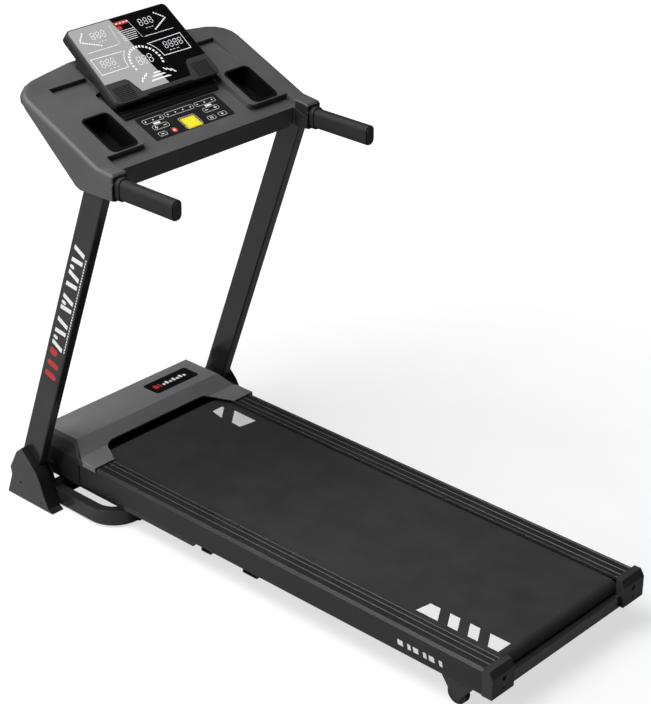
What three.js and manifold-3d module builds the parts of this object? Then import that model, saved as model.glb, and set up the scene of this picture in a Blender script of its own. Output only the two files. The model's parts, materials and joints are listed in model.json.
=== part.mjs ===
// Folding home treadmill, built as the separate pieces it comes apart into.
// Millimetres, +Z up. X is the runner's right and Y points from the runner to the console.
// The origin lies on the floor, in the middle of the machine's outline.
import * as THREE from 'three';
import { mergeVertices } from 'three/addons/utils/BufferGeometryUtils.js';
import Module from 'manifold-3d';

const wasm = await Module();
wasm.setup();

// ---------------------------------------------------------------- driving dimensions

const GAP = 0.3;                 // between pieces that touch
const COVER = 3;                 // wall of a moulded cover
const TUBE = 2;                  // wall of a steel tube
const SLIP = 1.5;                // between a cover and the frame inside it
const ROUND = 20;                // sides of a plain cylinder

// running surface
const runLength = 1203;          // visible belt, from the rear caps to the hood
const beltHalf = 207;
const beltThickness = 2.2;
const beltTop = 120;
const boardThickness = 17.7;
const rollerRadius = 21;
const rollerShaft = 7;

// side rails and deck frame
const railWidth = 61.5;
const railTop = 128;
const railSkirt = 64;            // lower edge of the rail
const railWall = 3.2;
const frameWidth = 28;
const frameTop = 114;
const frameFoot = 50;            // lower edge of the deeper front part of the frame
const frameDeepRear = 145;
const capLength = 27.5;

// motor bay, with the fold axis inside it
const bayRear = 491.5;           // rear tips of the hood
const throatY = 560;             // where the belt runs under the hood
const plateauY = 590;
const hoodTop = 162;
const hoodFront = 728;
const hoodBottom = 60;
const plateauHalf = 243;
const pivotY = 662.5;
const pivotZ = 75;
const pivotRadius = 8;

// uprights
const lean = THREE.MathUtils.degToRad(19.5);
const uprightFront = 695;        // front face at the height of the rails
const uprightDepth = 63.4;
const uprightWidth = 27;
const uprightTop = 955;
const standGap = 32.5;           // rail to upright, side to side

// floor base
const floorTube = 25;
const floorTubeHeight = 40;
const footHeight = 6;
const baseRear = 392;
const baseFront = 720;
const baseBend = 78;
const plateThickness = 4;
const wheelRadius = 22;
const rearWheelRadius = 25;

// console
const consoleTilt = THREE.MathUtils.degToRad(23.5);
const consoleZ = 1000.5;
const consoleReach = 59;         // console centre in front of the uprights' front faces
const stepDepth = 15;
const seamDepth = 24;
const padInner = 168;
const trayDepth = 45;

// display
const displayTilt = THREE.MathUtils.degToRad(35.5);
const displayLength = 226;
const displayThickness = 30;
const bezelThickness = 12;
const glassThickness = 3;

// handlebars
const gripWidth = 30;
const gripHeight = 48;
const gripWall = 3;
const gripLength = 178;
const handleZ = 926;

// ---------------------------------------------------------------- derived places

const runHalf = beltHalf + 3;
const railOuter = runHalf + railWidth;
const frameOuter = railOuter - railWall - GAP;
const frameInner = frameOuter - frameWidth;
const hoodHalf = railOuter + COVER;
const railRear = bayRear - runLength;
const railFront = throatY - 8;
const deckRear = railRear - GAP - capLength;
const rollerZ = beltTop - beltThickness - GAP - rollerRadius;
const beltInner = rollerRadius + GAP;
const beltOuter = beltInner + beltThickness;
const frontRollerY = throatY - 20;
const rearRollerY = railRear + 19.5;
const boardTop = beltTop - beltThickness - GAP;
const boardBottom = boardTop - boardThickness;
const boardRear = rearRollerY + rollerRadius + 3;
const boardFront = frontRollerY - rollerRadius - 14;

const uprightInner = railOuter + standGap;
const uprightOuter = uprightInner + uprightWidth;
const uprightFoot = footHeight + floorTubeHeight + GAP + plateThickness + GAP;
const floorTubeTop = footHeight + floorTubeHeight;
const legOuter = uprightInner + 5;
const legInner = legOuter - floorTube;
const footInner = legOuter + plateThickness;
const footOuter = uprightOuter + 20;
const frontLineY = (z) => uprightFront - Math.tan(lean) * (z - railTop);
const rearLineY = (z) => frontLineY(z) - uprightDepth / Math.cos(lean);

const consoleY = frontLineY(consoleZ) + consoleReach;
const consoleHalf = uprightOuter + 7;
const armInner = consoleHalf - 50;
const armRear = consoleY - 128;
const lipRear = consoleY - 85;
const displayFootY = consoleY + 36.5;
const displayFootZ = consoleZ + 37.5;
const gripCentre = uprightInner + 9;

// ---------------------------------------------------------------- shape helpers

const AXES = {
  x: new THREE.Matrix4().makeBasis(
    new THREE.Vector3(0, 1, 0), new THREE.Vector3(0, 0, 1), new THREE.Vector3(1, 0, 0)),
  y: new THREE.Matrix4().makeBasis(
    new THREE.Vector3(1, 0, 0), new THREE.Vector3(0, 0, 1), new THREE.Vector3(0, -1, 0)),
  z: new THREE.Matrix4(),
};

function solidOf(geometry) {
  const plain = geometry.clone();
  plain.deleteAttribute('normal');
  plain.deleteAttribute('uv');
  const merged = mergeVertices(plain, 1e-4);
  return new wasm.Manifold(new wasm.Mesh({
    numProp: 3,
    vertProperties: new Float32Array(merged.attributes.position.array),
    triVerts: new Uint32Array(merged.index.array),
  }));
}

function shapeOf(points) {
  return new THREE.Shape(points.map(([a, b]) => new THREE.Vector2(a, b)));
}

// A shape drawn across an axis and drawn out along it, from one place to another.
// Across X it is drawn in (y, z), across Y in (x, z) and across Z in (x, y).
function extrude(axis, shape, from, to, bevel = 0, steps = 3) {
  const depth = to - from - 2 * bevel;
  const geometry = new THREE.ExtrudeGeometry(shape, {
    depth,
    curveSegments: 4,
    bevelEnabled: bevel > 0,
    bevelThickness: bevel,
    bevelSize: bevel,
    bevelOffset: -bevel,
    bevelSegments: steps,
  });
  geometry.translate(0, 0, axis === 'y' ? -to + bevel : from + bevel);
  return solidOf(geometry.applyMatrix4(AXES[axis]));
}

function prism(axis, points, from, to) {
  return extrude(axis, shapeOf(points), from, to);
}

function box(x0, x1, y0, y1, z0, z1) {
  const geometry = new THREE.BoxGeometry(x1 - x0, y1 - y0, z1 - z0);
  return solidOf(geometry.translate((x0 + x1) / 2, (y0 + y1) / 2, (z0 + z1) / 2));
}

function rod(axis, radius, from, to, centre, sides = ROUND) {
  const geometry = new THREE.CylinderGeometry(radius, radius, to - from, sides);
  if (axis === 'x') {
    geometry.rotateZ(Math.PI / 2).translate((from + to) / 2, centre[0], centre[1]);
  } else if (axis === 'y') {
    geometry.translate(centre[0], (from + to) / 2, centre[1]);
  } else {
    geometry.rotateX(Math.PI / 2).translate(centre[0], centre[1], (from + to) / 2);
  }
  return solidOf(geometry);
}

function roundedRect(width, height, radius, cx = 0, cy = 0) {
  const shape = new THREE.Shape();
  const a = width / 2 - radius;
  const b = height / 2 - radius;
  shape.absarc(cx + a, cy + b, radius, 0, Math.PI / 2, false);
  shape.absarc(cx - a, cy + b, radius, Math.PI / 2, Math.PI, false);
  shape.absarc(cx - a, cy - b, radius, Math.PI, 1.5 * Math.PI, false);
  shape.absarc(cx + a, cy - b, radius, 1.5 * Math.PI, 2 * Math.PI, false);
  shape.closePath();
  return shape;
}

// An outline moved inwards by a distance, edge by edge. The points run anticlockwise.
function inset(points, distance) {
  const count = points.length;
  return points.map((point, i) => {
    const before = points[(i + count - 1) % count];
    const after = points[(i + 1) % count];
    const a = [point[0] - before[0], point[1] - before[1]];
    const b = [after[0] - point[0], after[1] - point[1]];
    const la = Math.hypot(...a);
    const lb = Math.hypot(...b);
    const na = [-a[1] / la, a[0] / la];
    const nb = [-b[1] / lb, b[0] / lb];
    const scale = distance / (1 + na[0] * nb[0] + na[1] * nb[1]);
    return [point[0] + (na[0] + nb[0]) * scale, point[1] + (na[1] + nb[1]) * scale];
  });
}

// The outline around two circles in (y, z), as a belt lies on them.
function beltOutline(c1, r1, c2, r2, steps) {
  const along = Math.atan2(c2[1] - c1[1], c2[0] - c1[0]);
  const spread = Math.acos((r1 - r2) / Math.hypot(c2[0] - c1[0], c2[1] - c1[1]));
  const points = [];
  for (let i = 0; i <= steps; i += 1) {
    const angle = along - spread + 2 * spread * (i / steps);
    points.push([c2[0] + r2 * Math.cos(angle), c2[1] + r2 * Math.sin(angle)]);
  }
  for (let i = 0; i <= steps; i += 1) {
    const angle = along + spread + (2 * Math.PI - 2 * spread) * (i / steps);
    points.push([c1[0] + r1 * Math.cos(angle), c1[1] + r1 * Math.sin(angle)]);
  }
  return points;
}

function join(first, ...others) {
  return others.reduce((sum, other) => sum.add(other), first);
}

function cut(first, ...others) {
  return others.reduce((rest, other) => rest.subtract(other), first);
}

function mirrored(solid) {
  return solid.mirror([1, 0, 0]);
}

// ---------------------------------------------------------------- assembly

const treadmill = new THREE.Group();
const base = new THREE.Group();
const deck = new THREE.Group();
treadmill.add(base, deck);

const FINISH = {
  frame: [0x2c2d2f, 0.5, 0.5],
  shell: [0x4a4b4c, 0.55, 0],
  hood: [0x565757, 0.5, 0],
  rail: [0x2b2c2e, 0.45, 0.1],
  rubber: [0x1b1b1c, 0.9, 0],
  grip: [0x2a2b2c, 0.75, 0],
  belt: [0x242526, 0.85, 0],
  board: [0x8a6b48, 0.8, 0],
  steel: [0xa9acaf, 0.35, 0.9],
  motor: [0x3a3c40, 0.4, 0.7],
  glass: [0x060607, 0.08, 0],
  membrane: [0x0d0d0e, 0.35, 0],
  yellow: [0xf5ec1c, 0.5, 0],
  circuit: [0x1d5a35, 0.6, 0.1],
  black: [0x101011, 0.5, 0],
};

function add(group, name, solid, finish) {
  const mesh = solid.getMesh();
  let geometry = new THREE.BufferGeometry();
  geometry.setAttribute('position', new THREE.BufferAttribute(mesh.vertProperties, 3));
  geometry.setIndex(new THREE.BufferAttribute(mesh.triVerts, 1));
  geometry = geometry.toNonIndexed();
  geometry.computeVertexNormals();
  const [color, roughness, metalness] = FINISH[finish];
  const piece = new THREE.Mesh(
    geometry, new THREE.MeshStandardMaterial({ color, roughness, metalness }));
  piece.name = name;
  group.add(piece);
}

function addPair(group, name, rightSolid, finish) {
  add(group, `right_${name}`, rightSolid, finish);
  add(group, `left_${name}`, mirrored(rightSolid), finish);
}

// ---------------------------------------------------------------- floor base

function floorBand(outer, inner, rear, front) {
  const bend = baseBend - (legOuter - outer);
  const innerBend = bend - (outer - inner);
  const shape = new THREE.Shape();
  shape.moveTo(outer, front);
  shape.lineTo(-outer, front);
  shape.absarc(-outer + bend, rear + bend, bend, Math.PI, 1.5 * Math.PI, false);
  shape.absarc(outer - bend, rear + bend, bend, 1.5 * Math.PI, 2 * Math.PI, false);
  shape.closePath();
  const inside = new THREE.Shape();
  const innerRear = rear + (outer - inner);
  inside.moveTo(inner, front + 1);
  inside.lineTo(-inner, front + 1);
  inside.absarc(-inner + innerBend, innerRear + innerBend, innerBend, Math.PI, 1.5 * Math.PI);
  inside.absarc(inner - innerBend, innerRear + innerBend, innerBend, 1.5 * Math.PI, 2 * Math.PI);
  inside.closePath();
  return [shape, inside];
}

function buildFloorTube() {
  const [outer, inside] = floorBand(legOuter, legInner, baseRear, baseFront);
  const [bore, boreInside] = floorBand(
    legOuter - TUBE, legInner + TUBE, baseRear + TUBE, baseFront + 1);
  const tube = cut(
    extrude('z', outer, footHeight, floorTubeTop),
    extrude('z', inside, footHeight - 1, floorTubeTop + 1));
  const hollow = cut(
    extrude('z', bore, footHeight + TUBE, floorTubeTop - TUBE),
    extrude('z', boreInside, footHeight, floorTubeTop));
  const stub = rod('x', 6, legOuter - TUBE / 2, footOuter - COVER - 4, [wheelY, wheelRadius]);
  return join(cut(tube, hollow), stub, mirrored(stub));
}

const crossFront = pivotY - 22;
const crossRear = crossFront - floorTube;
const wheelY = baseFront - 20;
const strutBaseY = pivotY - 100;
const strutEye = 10;
const strutGap = 3;               // under the returning belt
const strutZ = rollerZ - beltOuter - strutGap - strutEye;
const strutEyeHalf = 12.9;
const pinRadius = 5;

function buildCrossTube() {
  const half = legInner - GAP;
  const tube = cut(
    box(-half, half, crossRear, crossFront, footHeight, floorTubeTop),
    box(-half - 1, half + 1, crossRear + TUBE, crossFront - TUBE,
      footHeight + TUBE, floorTubeTop - TUBE));
  const cheekIn = strutEyeHalf + GAP;
  const cheek = prism('x', [
    [crossRear + TUBE / 2, footHeight + 6],
    [crossRear + TUBE / 2, floorTubeTop],
    [crossRear - 42, floorTubeTop + 4],
    [strutBaseY + 11, strutZ + 10],
    [strutBaseY - 10, strutZ + 10],
    [strutBaseY - 12, strutZ - 10],
    [crossRear - 18, footHeight + 6],
  ], cheekIn, cheekIn + plateThickness);
  const pin = rod('x', pinRadius, -cheekIn - 1, cheekIn + 1, [strutBaseY, strutZ]);
  return join(tube, cheek, mirrored(cheek), pin);
}

function buildFootSocket() {
  const low = floorTubeTop + GAP;
  const high = low + plateThickness;
  const rear = footRear + 38;
  const front = baseFront - 6;
  const cheek = [
    [rear, low], [front, low], [front - 4, 82], [uprightFront - 6, 128],
    [uprightFront - 22, 140], [rear + 14, 92],
  ];
  const plate = box(legInner, footOuter - COVER - GAP, rear, front, low, high);
  const inner = prism('x', cheek, uprightInner - GAP - plateThickness, uprightInner - GAP);
  const outer = prism('x', [
    [rear, low], [front, low], [front - 4, 78], [uprightFront - 8, 112], [rear + 26, 88],
  ], uprightOuter + GAP, uprightOuter + GAP + plateThickness);
  const lug = prism('x', [
    [pivotY - 26, low], [pivotY + 26, low], [pivotY + 18, pivotZ + 16], [pivotY - 18, pivotZ + 16],
  ], legInner, legInner + 6);
  const hole = rod('x', pivotRadius + GAP, legInner - 1, legInner + 7, [pivotY, pivotZ]);
  return cut(join(plate, inner, outer, lug), hole);
}

function buildUpright() {
  const long = (uprightTop + 100) / Math.cos(lean);
  const block = (grow) => {
    const shape = roundedRect(uprightWidth + 2 * grow, uprightDepth + 2 * grow, 4 + grow);
    const post = extrude('z', shape, -50, long).rotate([THREE.MathUtils.radToDeg(lean), 0, 0]);
    const middle = (frontLineY(0) + rearLineY(0)) / 2;
    return post.translate([(uprightInner + uprightOuter) / 2, middle, 0]);
  };
  const slab = (z0, z1) => box(0, footOuter, -600, 900, z0, z1);
  const whole = block(0).intersect(slab(uprightFoot, uprightTop));
  const hollow = block(-TUBE).intersect(slab(uprightFoot + TUBE, uprightTop + 1));
  return { whole, tube: cut(whole, hollow), envelope: block };
}

const footRear = baseFront - 149.5;
const footProfile = [
  [baseFront + 19.5, 0],
  [baseFront + 0.5, 56],
  [baseFront + 4.5, 78],
  [uprightFront + 3.5, railTop],
  [uprightFront - 17.5, railTop + 18],
  [footRear + 54, 95],
  [footRear + 42, 74],
  [footRear + 31, 43],
  [footRear + 13, 8],
  [footRear, 0],
];

function buildFootCover(upright) {
  const shape = shapeOf(footProfile);
  const whole = extrude('x', shape, footInner - 8, footOuter, 4, 2)
    .intersect(box(footInner, footOuter, 0, 2000, 0, 1000));
  const inside = inset(footProfile, COVER);
  inside[0][1] = -1;
  inside[inside.length - 1][1] = -1;
  const cavity = prism('x', inside, footInner - 1, footOuter - COVER);
  const passage = upright.envelope(SLIP).intersect(box(0, footOuter, 0, 900, 40, 1000));
  const screwHole = (y, z) => rod('x', 3.5, footOuter - COVER - 1, footOuter + 1, [y, z], 12);
  return cut(whole, cavity, passage,
    screwHole(baseFront - 34, 47), screwHole(footRear + 38, 18));
}

function buildRubberFoot() {
  const x = legOuter - baseBend - 30;
  const shape = roundedRect(44, floorTube - 4, 4, x, baseRear + floorTube / 2);
  return extrude('z', shape, 0, footHeight - GAP);
}

function buildWheel(radius, bore, x0, x1, y, z) {
  const tyre = rod('x', radius, x0, x1, [y, z], 32);
  return cut(tyre, rod('x', bore + GAP, x0 - 1, x1 + 1, [y, z]));
}

function buildPivotBolt() {
  const centre = [pivotY, pivotZ];
  const shank = rod('x', pivotRadius, frameInner - 6, legInner + 6 + GAP + 6, centre);
  const head = rod('x', 13, legInner + 6 + GAP, legInner + 6 + GAP + 7, centre, 6);
  const nut = rod('x', 12, frameInner - 9, frameInner - GAP, centre, 6);
  return join(shank, head, nut);
}

const upright = buildUpright();
add(base, 'base_u_tube', buildFloorTube(), 'frame');
add(base, 'base_cross_tube', buildCrossTube(), 'frame');
addPair(base, 'foot_socket', buildFootSocket(), 'frame');
addPair(base, 'foot_cover', buildFootCover(upright), 'shell');
addPair(base, 'upright', upright.tube, 'frame');
addPair(base, 'rubber_foot', buildRubberFoot(), 'rubber');
addPair(base, 'transport_wheel', buildWheel(
  wheelRadius, 6, legOuter + 2, uprightOuter - 2, wheelY, wheelRadius), 'rubber');
addPair(base, 'pivot_bolt', buildPivotBolt(), 'steel');

// ---------------------------------------------------------------- console

// Pieces of the console are drawn flat, x across and y up the slope, then tilted into place.
function tilted(solid) {
  return solid.rotate([THREE.MathUtils.radToDeg(consoleTilt), 0, 0])
    .translate([0, consoleY, consoleZ]);
}

const slope = 1 / Math.cos(consoleTilt);
const padFront = 57;
const padRear = -57;
const padStep = -64;
const padRound = 14;
const armEnd = (armRear - consoleY) * slope - 25;
const planeZ = (y, depth = 0) =>
  consoleZ + Math.tan(consoleTilt) * (y - consoleY) - depth * slope;

function consoleOutline() {
  const shape = new THREE.Shape();
  const corner = 52;
  shape.moveTo(0, 245);
  shape.lineTo(-150, 242);
  shape.lineTo(-225, 231);
  shape.lineTo(-(consoleHalf - corner - 8), 222);
  shape.quadraticCurveTo(-consoleHalf, 206, -consoleHalf, 160);
  shape.lineTo(-consoleHalf, armEnd);
  shape.lineTo(-armInner, armEnd);
  shape.lineTo(-armInner, (lipRear - consoleY) * slope - 12);
  shape.lineTo(-armInner + 22, (lipRear - consoleY) * slope - 30);
  shape.lineTo(armInner - 22, (lipRear - consoleY) * slope - 30);
  shape.lineTo(armInner, (lipRear - consoleY) * slope - 12);
  shape.lineTo(armInner, armEnd);
  shape.lineTo(consoleHalf, armEnd);
  shape.lineTo(consoleHalf, 160);
  shape.quadraticCurveTo(consoleHalf, 206, consoleHalf - corner - 8, 222);
  shape.lineTo(225, 231);
  shape.lineTo(150, 242);
  shape.closePath();
  return shape;
}

// The body seen from the side, in (y, z): upright rear faces, flat underside, rising nose.
function consoleSide(grow) {
  const bottom = consoleZ - 98;
  return [
    [armRear - grow, bottom - grow],
    [consoleY - 20, bottom - 3 - grow],
    [consoleY - 6 + grow * 0.4, bottom + 3 - grow],
    [consoleY + 161 + grow * 0.4, consoleZ + 49 - grow],
    [consoleY + 223 + grow, consoleZ + 77 - grow],
    [consoleY + 262 + grow, consoleZ + 120],
    [consoleY + 262 + grow, consoleZ + 210],
    [armRear - grow, consoleZ + 210],
  ];
}

// The body between the arms starts further forward than the arms do.
function betweenArms(grow) {
  const half = armInner + 22 - grow;
  return prism('y', [
    [half, consoleZ + 210], [-half, consoleZ + 210],
    [-half, consoleZ - 60], [-half + 34, consoleZ - 200],
    [half - 34, consoleZ - 200], [half, consoleZ - 60],
  ], armRear - 100, lipRear + grow);
}

// The raised end of each arm, round the root of the handlebar, in (y, z).
const armRoot = [
  [armRear, handleZ - 26], [consoleY - 50, handleZ - 26], [consoleY - 50, consoleZ - 34],
  [consoleY - 74, consoleZ - 33], [armRear + 6, consoleZ - 38], [armRear, consoleZ - 44],
];

function consoleBody(grow) {
  const bevel = 10 + grow;
  const corners = consoleOutline().getPoints(4).slice(0, -1).map((point) => [point.x, point.y]);
  const outline = shapeOf(inset(corners, -grow));
  const plate = tilted(extrude('z', outline, -240 - bevel, grow, bevel, 4));
  const arms = join(
    box(armInner - grow, 500, armRear - 60, lipRear + 30, 0, 2000),
    box(-500, -armInner + grow, armRear - 60, lipRear + 30, 0, 2000),
    box(-500, 500, lipRear - grow, 1200, 0, 2000));
  const body = plate.intersect(prism('x', consoleSide(grow), -500, 500)).intersect(arms);
  const root = extrude('x', shapeOf(inset(armRoot, -grow)), armInner - grow,
    consoleHalf + grow, 8 + grow, 3);
  return join(body, root, mirrored(root));
}

// What rounds the raised pad's corner beside the keys.
function padCorner(grow) {
  const centre = [padInner + padRound, padStep + padRound];
  const square = box(padInner, centre[0], padStep, centre[1], -stepDepth - grow, 60);
  return cut(square, rod('z', padRound - grow, -stepDepth - grow - 1, 61, centre));
}

// Everything above the stepped-down middle and rear of the top face.
function stepSpace(grow) {
  const middle = extrude('z', roundedRect(2 * (padInner + grow), 300 + 2 * grow, 14, 0, -25),
    -stepDepth - grow, 60);
  const half = armInner + 2 + grow;
  const rear = box(-half, half, -260, padStep + grow, -stepDepth - grow, 60);
  return tilted(join(middle, rear, padCorner(grow), mirrored(padCorner(grow))));
}

function trayShape(grow) {
  const width = 77 + 2 * grow;
  const length = padFront - padRear + 2 * grow;
  return roundedRect(width, length, 12 + grow, trayX, (padFront + padRear) / 2);
}

const trayX = 226;
const shelfRear = 84;
const shelfFront = 176;

// A shallow shelf that sinks towards the front, between the display and the outer edge.
function shelfSpace(grow) {
  const inner = 150 - grow;
  const outer = 262 + grow;
  return tilted(prism('x', [
    [shelfRear, -grow], [shelfFront + grow, -12 - grow], [shelfFront + grow, 60],
    [shelfRear - grow, 60],
  ], inner, outer));
}

const shelves = (grow) => join(shelfSpace(grow), mirrored(shelfSpace(grow)));

function consoleShell() {
  const outer = cut(consoleBody(0), stepSpace(0), shelves(0));
  const inner = cut(consoleBody(-COVER), stepSpace(COVER), shelves(COVER));
  const trayHole = tilted(extrude('z', trayShape(-GAP), -trayDepth - 1, 40));
  const post = upright.envelope(SLIP).intersect(box(0, 500, 0, 900, 500, consoleZ + 200));
  const bar = extrude('y', roundedRect(gripWidth - gripWall * 2 + 2 * SLIP,
    gripHeight - gripWall * 2 + 2 * SLIP, 11, gripCentre, handleZ), armRear - 10, armRear + 10);
  return cut(outer, inner, trayHole, mirrored(trayHole), post.intersect(box(
    0, 500, 0, 900, 500, uprightTop + 4)), mirrored(post.intersect(box(
    0, 500, 0, 900, 500, uprightTop + 4))), bar, mirrored(bar));
}

const shell = consoleShell();
const above = tilted(box(-600, 600, -600, 600, -seamDepth, 400));
const below = tilted(box(-600, 600, -600, 600, -600, -seamDepth - GAP));
add(base, 'console_top_shell', shell.intersect(above), 'shell');
add(base, 'console_bottom_shell', shell.intersect(below), 'shell');

function buildConsoleTube() {
  const half = uprightInner - GAP;
  const z = uprightTop - 28;
  const y = frontLineY(z) - 20;
  return cut(
    box(-half, half, y - 15, y + 15, z - 15, z + 15),
    box(-half - 1, half + 1, y - 15 + TUBE, y + 15 - TUBE, z - 15 + TUBE, z + 15 - TUBE));
}

function buildBottleTray() {
  const wall = 2;
  const rim = tilted(extrude('z', trayShape(3), GAP, GAP + 1.5));
  const cup = tilted(extrude('z', trayShape(-2 * GAP), -trayDepth, GAP + 1));
  const space = tilted(extrude('z', trayShape(-2 * GAP - wall), -trayDepth + wall, 20));
  return cut(join(rim, cup), space);
}

const keyRear = -57;
const keyFront = 23;
const keyHalf = 127;
const keyTop = -stepDepth + GAP;
const safetyHalf = 22;
const safetyFront = -20;

function buildKeypad() {
  const sheet = extrude('z', roundedRect(2 * keyHalf, keyFront - keyRear, 5, 0,
    (keyFront + keyRear) / 2), keyTop, keyTop + 1);
  const notch = box(-safetyHalf - 1, safetyHalf + 1, keyRear - 5, safetyFront + 1, -60, 60);
  return tilted(cut(sheet, notch));
}

function buildSafetyPad() {
  const shape = roundedRect(2 * safetyHalf, safetyFront - keyRear, 4, 0,
    (safetyFront + keyRear) / 2);
  return tilted(extrude('z', shape, keyTop, keyTop + 1.6));
}

add(base, 'console_cross_tube', buildConsoleTube(), 'frame');
addPair(base, 'bottle_tray', buildBottleTray(), 'black');
add(base, 'keypad_membrane', buildKeypad(), 'membrane');
add(base, 'safety_key_pad', buildSafetyPad(), 'yellow');

// ---------------------------------------------------------------- display

// Pieces of the display are drawn flat, y from its lower to its upper edge and z out of it.
function onDisplay(solid) {
  return solid.rotate([THREE.MathUtils.radToDeg(displayTilt), 0, 0])
    .translate([0, displayFootY, displayFootZ]);
}

const displayTopHalf = 157;
const displayBottomHalf = 163;
const glassFoot = 16;
const glassShoulder = 60;
const glassMargin = 3;
const notchHalf = 77;

function displayOutline() {
  const shape = new THREE.Shape();
  const r = 14;
  shape.moveTo(-displayBottomHalf + r, 0);
  shape.lineTo(displayBottomHalf - r, 0);
  shape.quadraticCurveTo(displayBottomHalf, 0, displayBottomHalf, r);
  shape.lineTo(displayTopHalf, displayLength - r);
  shape.quadraticCurveTo(displayTopHalf, displayLength, displayTopHalf - r, displayLength);
  shape.lineTo(-displayTopHalf + r, displayLength);
  shape.quadraticCurveTo(-displayTopHalf, displayLength, -displayTopHalf, displayLength - r);
  shape.lineTo(-displayBottomHalf, r);
  shape.quadraticCurveTo(-displayBottomHalf, 0, -displayBottomHalf + r, 0);
  return shape;
}

// The glass fills the bezel's face down to the loudspeaker corners.
function glassOutline(grow) {
  const bottom = displayBottomHalf - glassMargin + grow;
  const top = displayTopHalf - glassMargin + grow;
  const r = 11;
  const roof = displayLength - glassMargin + grow;
  const shape = new THREE.Shape();
  shape.moveTo(-notchHalf - grow, glassFoot - grow);
  shape.lineTo(notchHalf + grow, glassFoot - grow);
  shape.lineTo(notchHalf + 14 + grow, glassShoulder - 6 - grow);
  shape.lineTo(notchHalf + 22 + grow, glassShoulder - grow);
  shape.lineTo(bottom, glassShoulder - grow);
  shape.lineTo(top, roof - r);
  shape.quadraticCurveTo(top, roof, top - r, roof);
  shape.lineTo(-top + r, roof);
  shape.quadraticCurveTo(-top, roof, -top, roof - r);
  shape.lineTo(-bottom, glassShoulder - grow);
  shape.lineTo(-notchHalf - 22 - grow, glassShoulder - grow);
  shape.lineTo(-notchHalf - 14 - grow, glassShoulder - 6 - grow);
  return shape;
}

const speakerX = 123;
const speakerY = 25;
const slotHalf = 27;
const slotCount = 9;
const slotPitch = 4.6;

function buildBezel() {
  const plate = extrude('z', displayOutline(), -bezelThickness, 0, 2, 2);
  const recess = extrude('z', glassOutline(GAP), -glassThickness - GAP, 5);
  const back = box(-120, 120, 90, 200, -bezelThickness - 1, 1);
  const ledge = box(-notchHalf + 6, notchHalf - 6, 3, glassFoot - 3, -2, 3);
  let bezel = join(cut(plate, recess, back), ledge);
  for (const side of [-1, 1]) {
    const x = side * speakerX;
    const seat = roundedRect(2 * slotHalf + 3, slotCount * slotPitch, 6, x, speakerY);
    bezel = cut(bezel, extrude('z', seat, -bezelThickness - 1, -4));
    for (let i = 0; i < slotCount; i += 1) {
      const y = speakerY + (i - (slotCount - 1) / 2) * slotPitch;
      bezel = cut(bezel, box(x - slotHalf, x + slotHalf, y - 0.9, y + 0.9, -5, 1));
    }
  }
  return onDisplay(bezel);
}

function buildRearHousing() {
  const top = -bezelThickness - GAP;
  const whole = extrude('z', displayOutline(), -displayThickness, top + 6, 6, 3)
    .intersect(box(-300, 300, -10, displayLength + 10, -100, top));
  const cavity = extrude('z', roundedRect(2 * displayTopHalf - 14, displayLength - 14, 8, 0,
    displayLength / 2), -displayThickness + COVER, top + 1);
  const post = (x, y) => rod('z', 4, -displayThickness + 1, -displayThickness + 8, [x, y], 12);
  const posts = [-90, 90].flatMap((x) => [95, 195].map((y) => post(x, y)));
  return onDisplay(join(cut(whole, cavity), ...posts));
}

function buildGlass() {
  return onDisplay(extrude('z', glassOutline(0), -glassThickness, 0));
}

function buildDisplayBoard() {
  const z = -displayThickness + 8 + GAP;
  return onDisplay(box(-110, 110, 85, 205, z, z + 1.6));
}

// The block that carries the display, with ridges that step down to the keys.
function buildPedestal() {
  const y = (offset) => consoleY + offset;
  const low = (offset, depth) => planeZ(y(offset), depth) + 1.2 * GAP;
  const roof = (offset) => displayFootZ - displayThickness / Math.cos(displayTilt)
    + Math.tan(displayTilt) * (y(offset) - displayFootY) - 1.5 * GAP;
  return prism('x', [
    [y(30), low(30, stepDepth)],
    [y(110), low(110, stepDepth)],
    [y(112), low(118, 0)],
    [y(196), low(196, 0)],
    [y(196), roof(196)],
    [y(57), roof(57)],
    [y(52), displayFootZ - 24],
    [y(43), displayFootZ - 20],
    [y(41), displayFootZ - 27],
    [y(35), displayFootZ - 28],
    [y(33), displayFootZ - 34],
    [y(31), displayFootZ - 35],
  ], -padInner + 18, padInner - 18);
}

add(base, 'display_pedestal', buildPedestal(), 'black');
add(base, 'display_rear_housing', buildRearHousing(), 'black');
add(base, 'display_bezel', buildBezel(), 'shell');
add(base, 'display_glass', buildGlass(), 'glass');
add(base, 'display_board', buildDisplayBoard(), 'circuit');

// ---------------------------------------------------------------- handlebars

function buildHandleTube() {
  const width = gripWidth - 2 * gripWall;
  const height = gripHeight - 2 * gripWall;
  const shape = roundedRect(width, height, 10, gripCentre, handleZ);
  const bore = roundedRect(width - 2 * TUBE, height - 2 * TUBE, 8, gripCentre, handleZ);
  const rear = armRear - gripLength + gripWall + 4;
  const reach = rearLineY(handleZ) + 20;
  const tube = cut(extrude('y', shape, rear, reach), extrude('y', bore, rear - 1, reach + 1));
  const seat = GAP / Math.cos(lean);
  const low = handleZ - 100;
  const high = handleZ + 100;
  return tube.intersect(prism('x', [
    [rear - 10, low], [rearLineY(low) - seat, low],
    [rearLineY(high) - seat, high], [rear - 10, high],
  ], 0, 500));
}

function buildGrip() {
  const rear = armRear - gripLength;
  const width = gripWidth - 2 * gripWall + 2 * GAP;
  const height = gripHeight - 2 * gripWall + 2 * GAP;
  const sleeve = extrude('y', roundedRect(gripWidth, gripHeight, 13, gripCentre, handleZ),
    rear, armRear - GAP, 2, 2);
  const collar = extrude('y', roundedRect(gripWidth + 6, gripHeight + 6, 15, gripCentre, handleZ),
    armRear - 12, armRear - GAP);
  const bore = extrude('y', roundedRect(width, height, 10 + GAP, gripCentre, handleZ),
    rear + gripWall + 4 - GAP, armRear + 1);
  return cut(join(sleeve, collar), bore);
}

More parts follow.
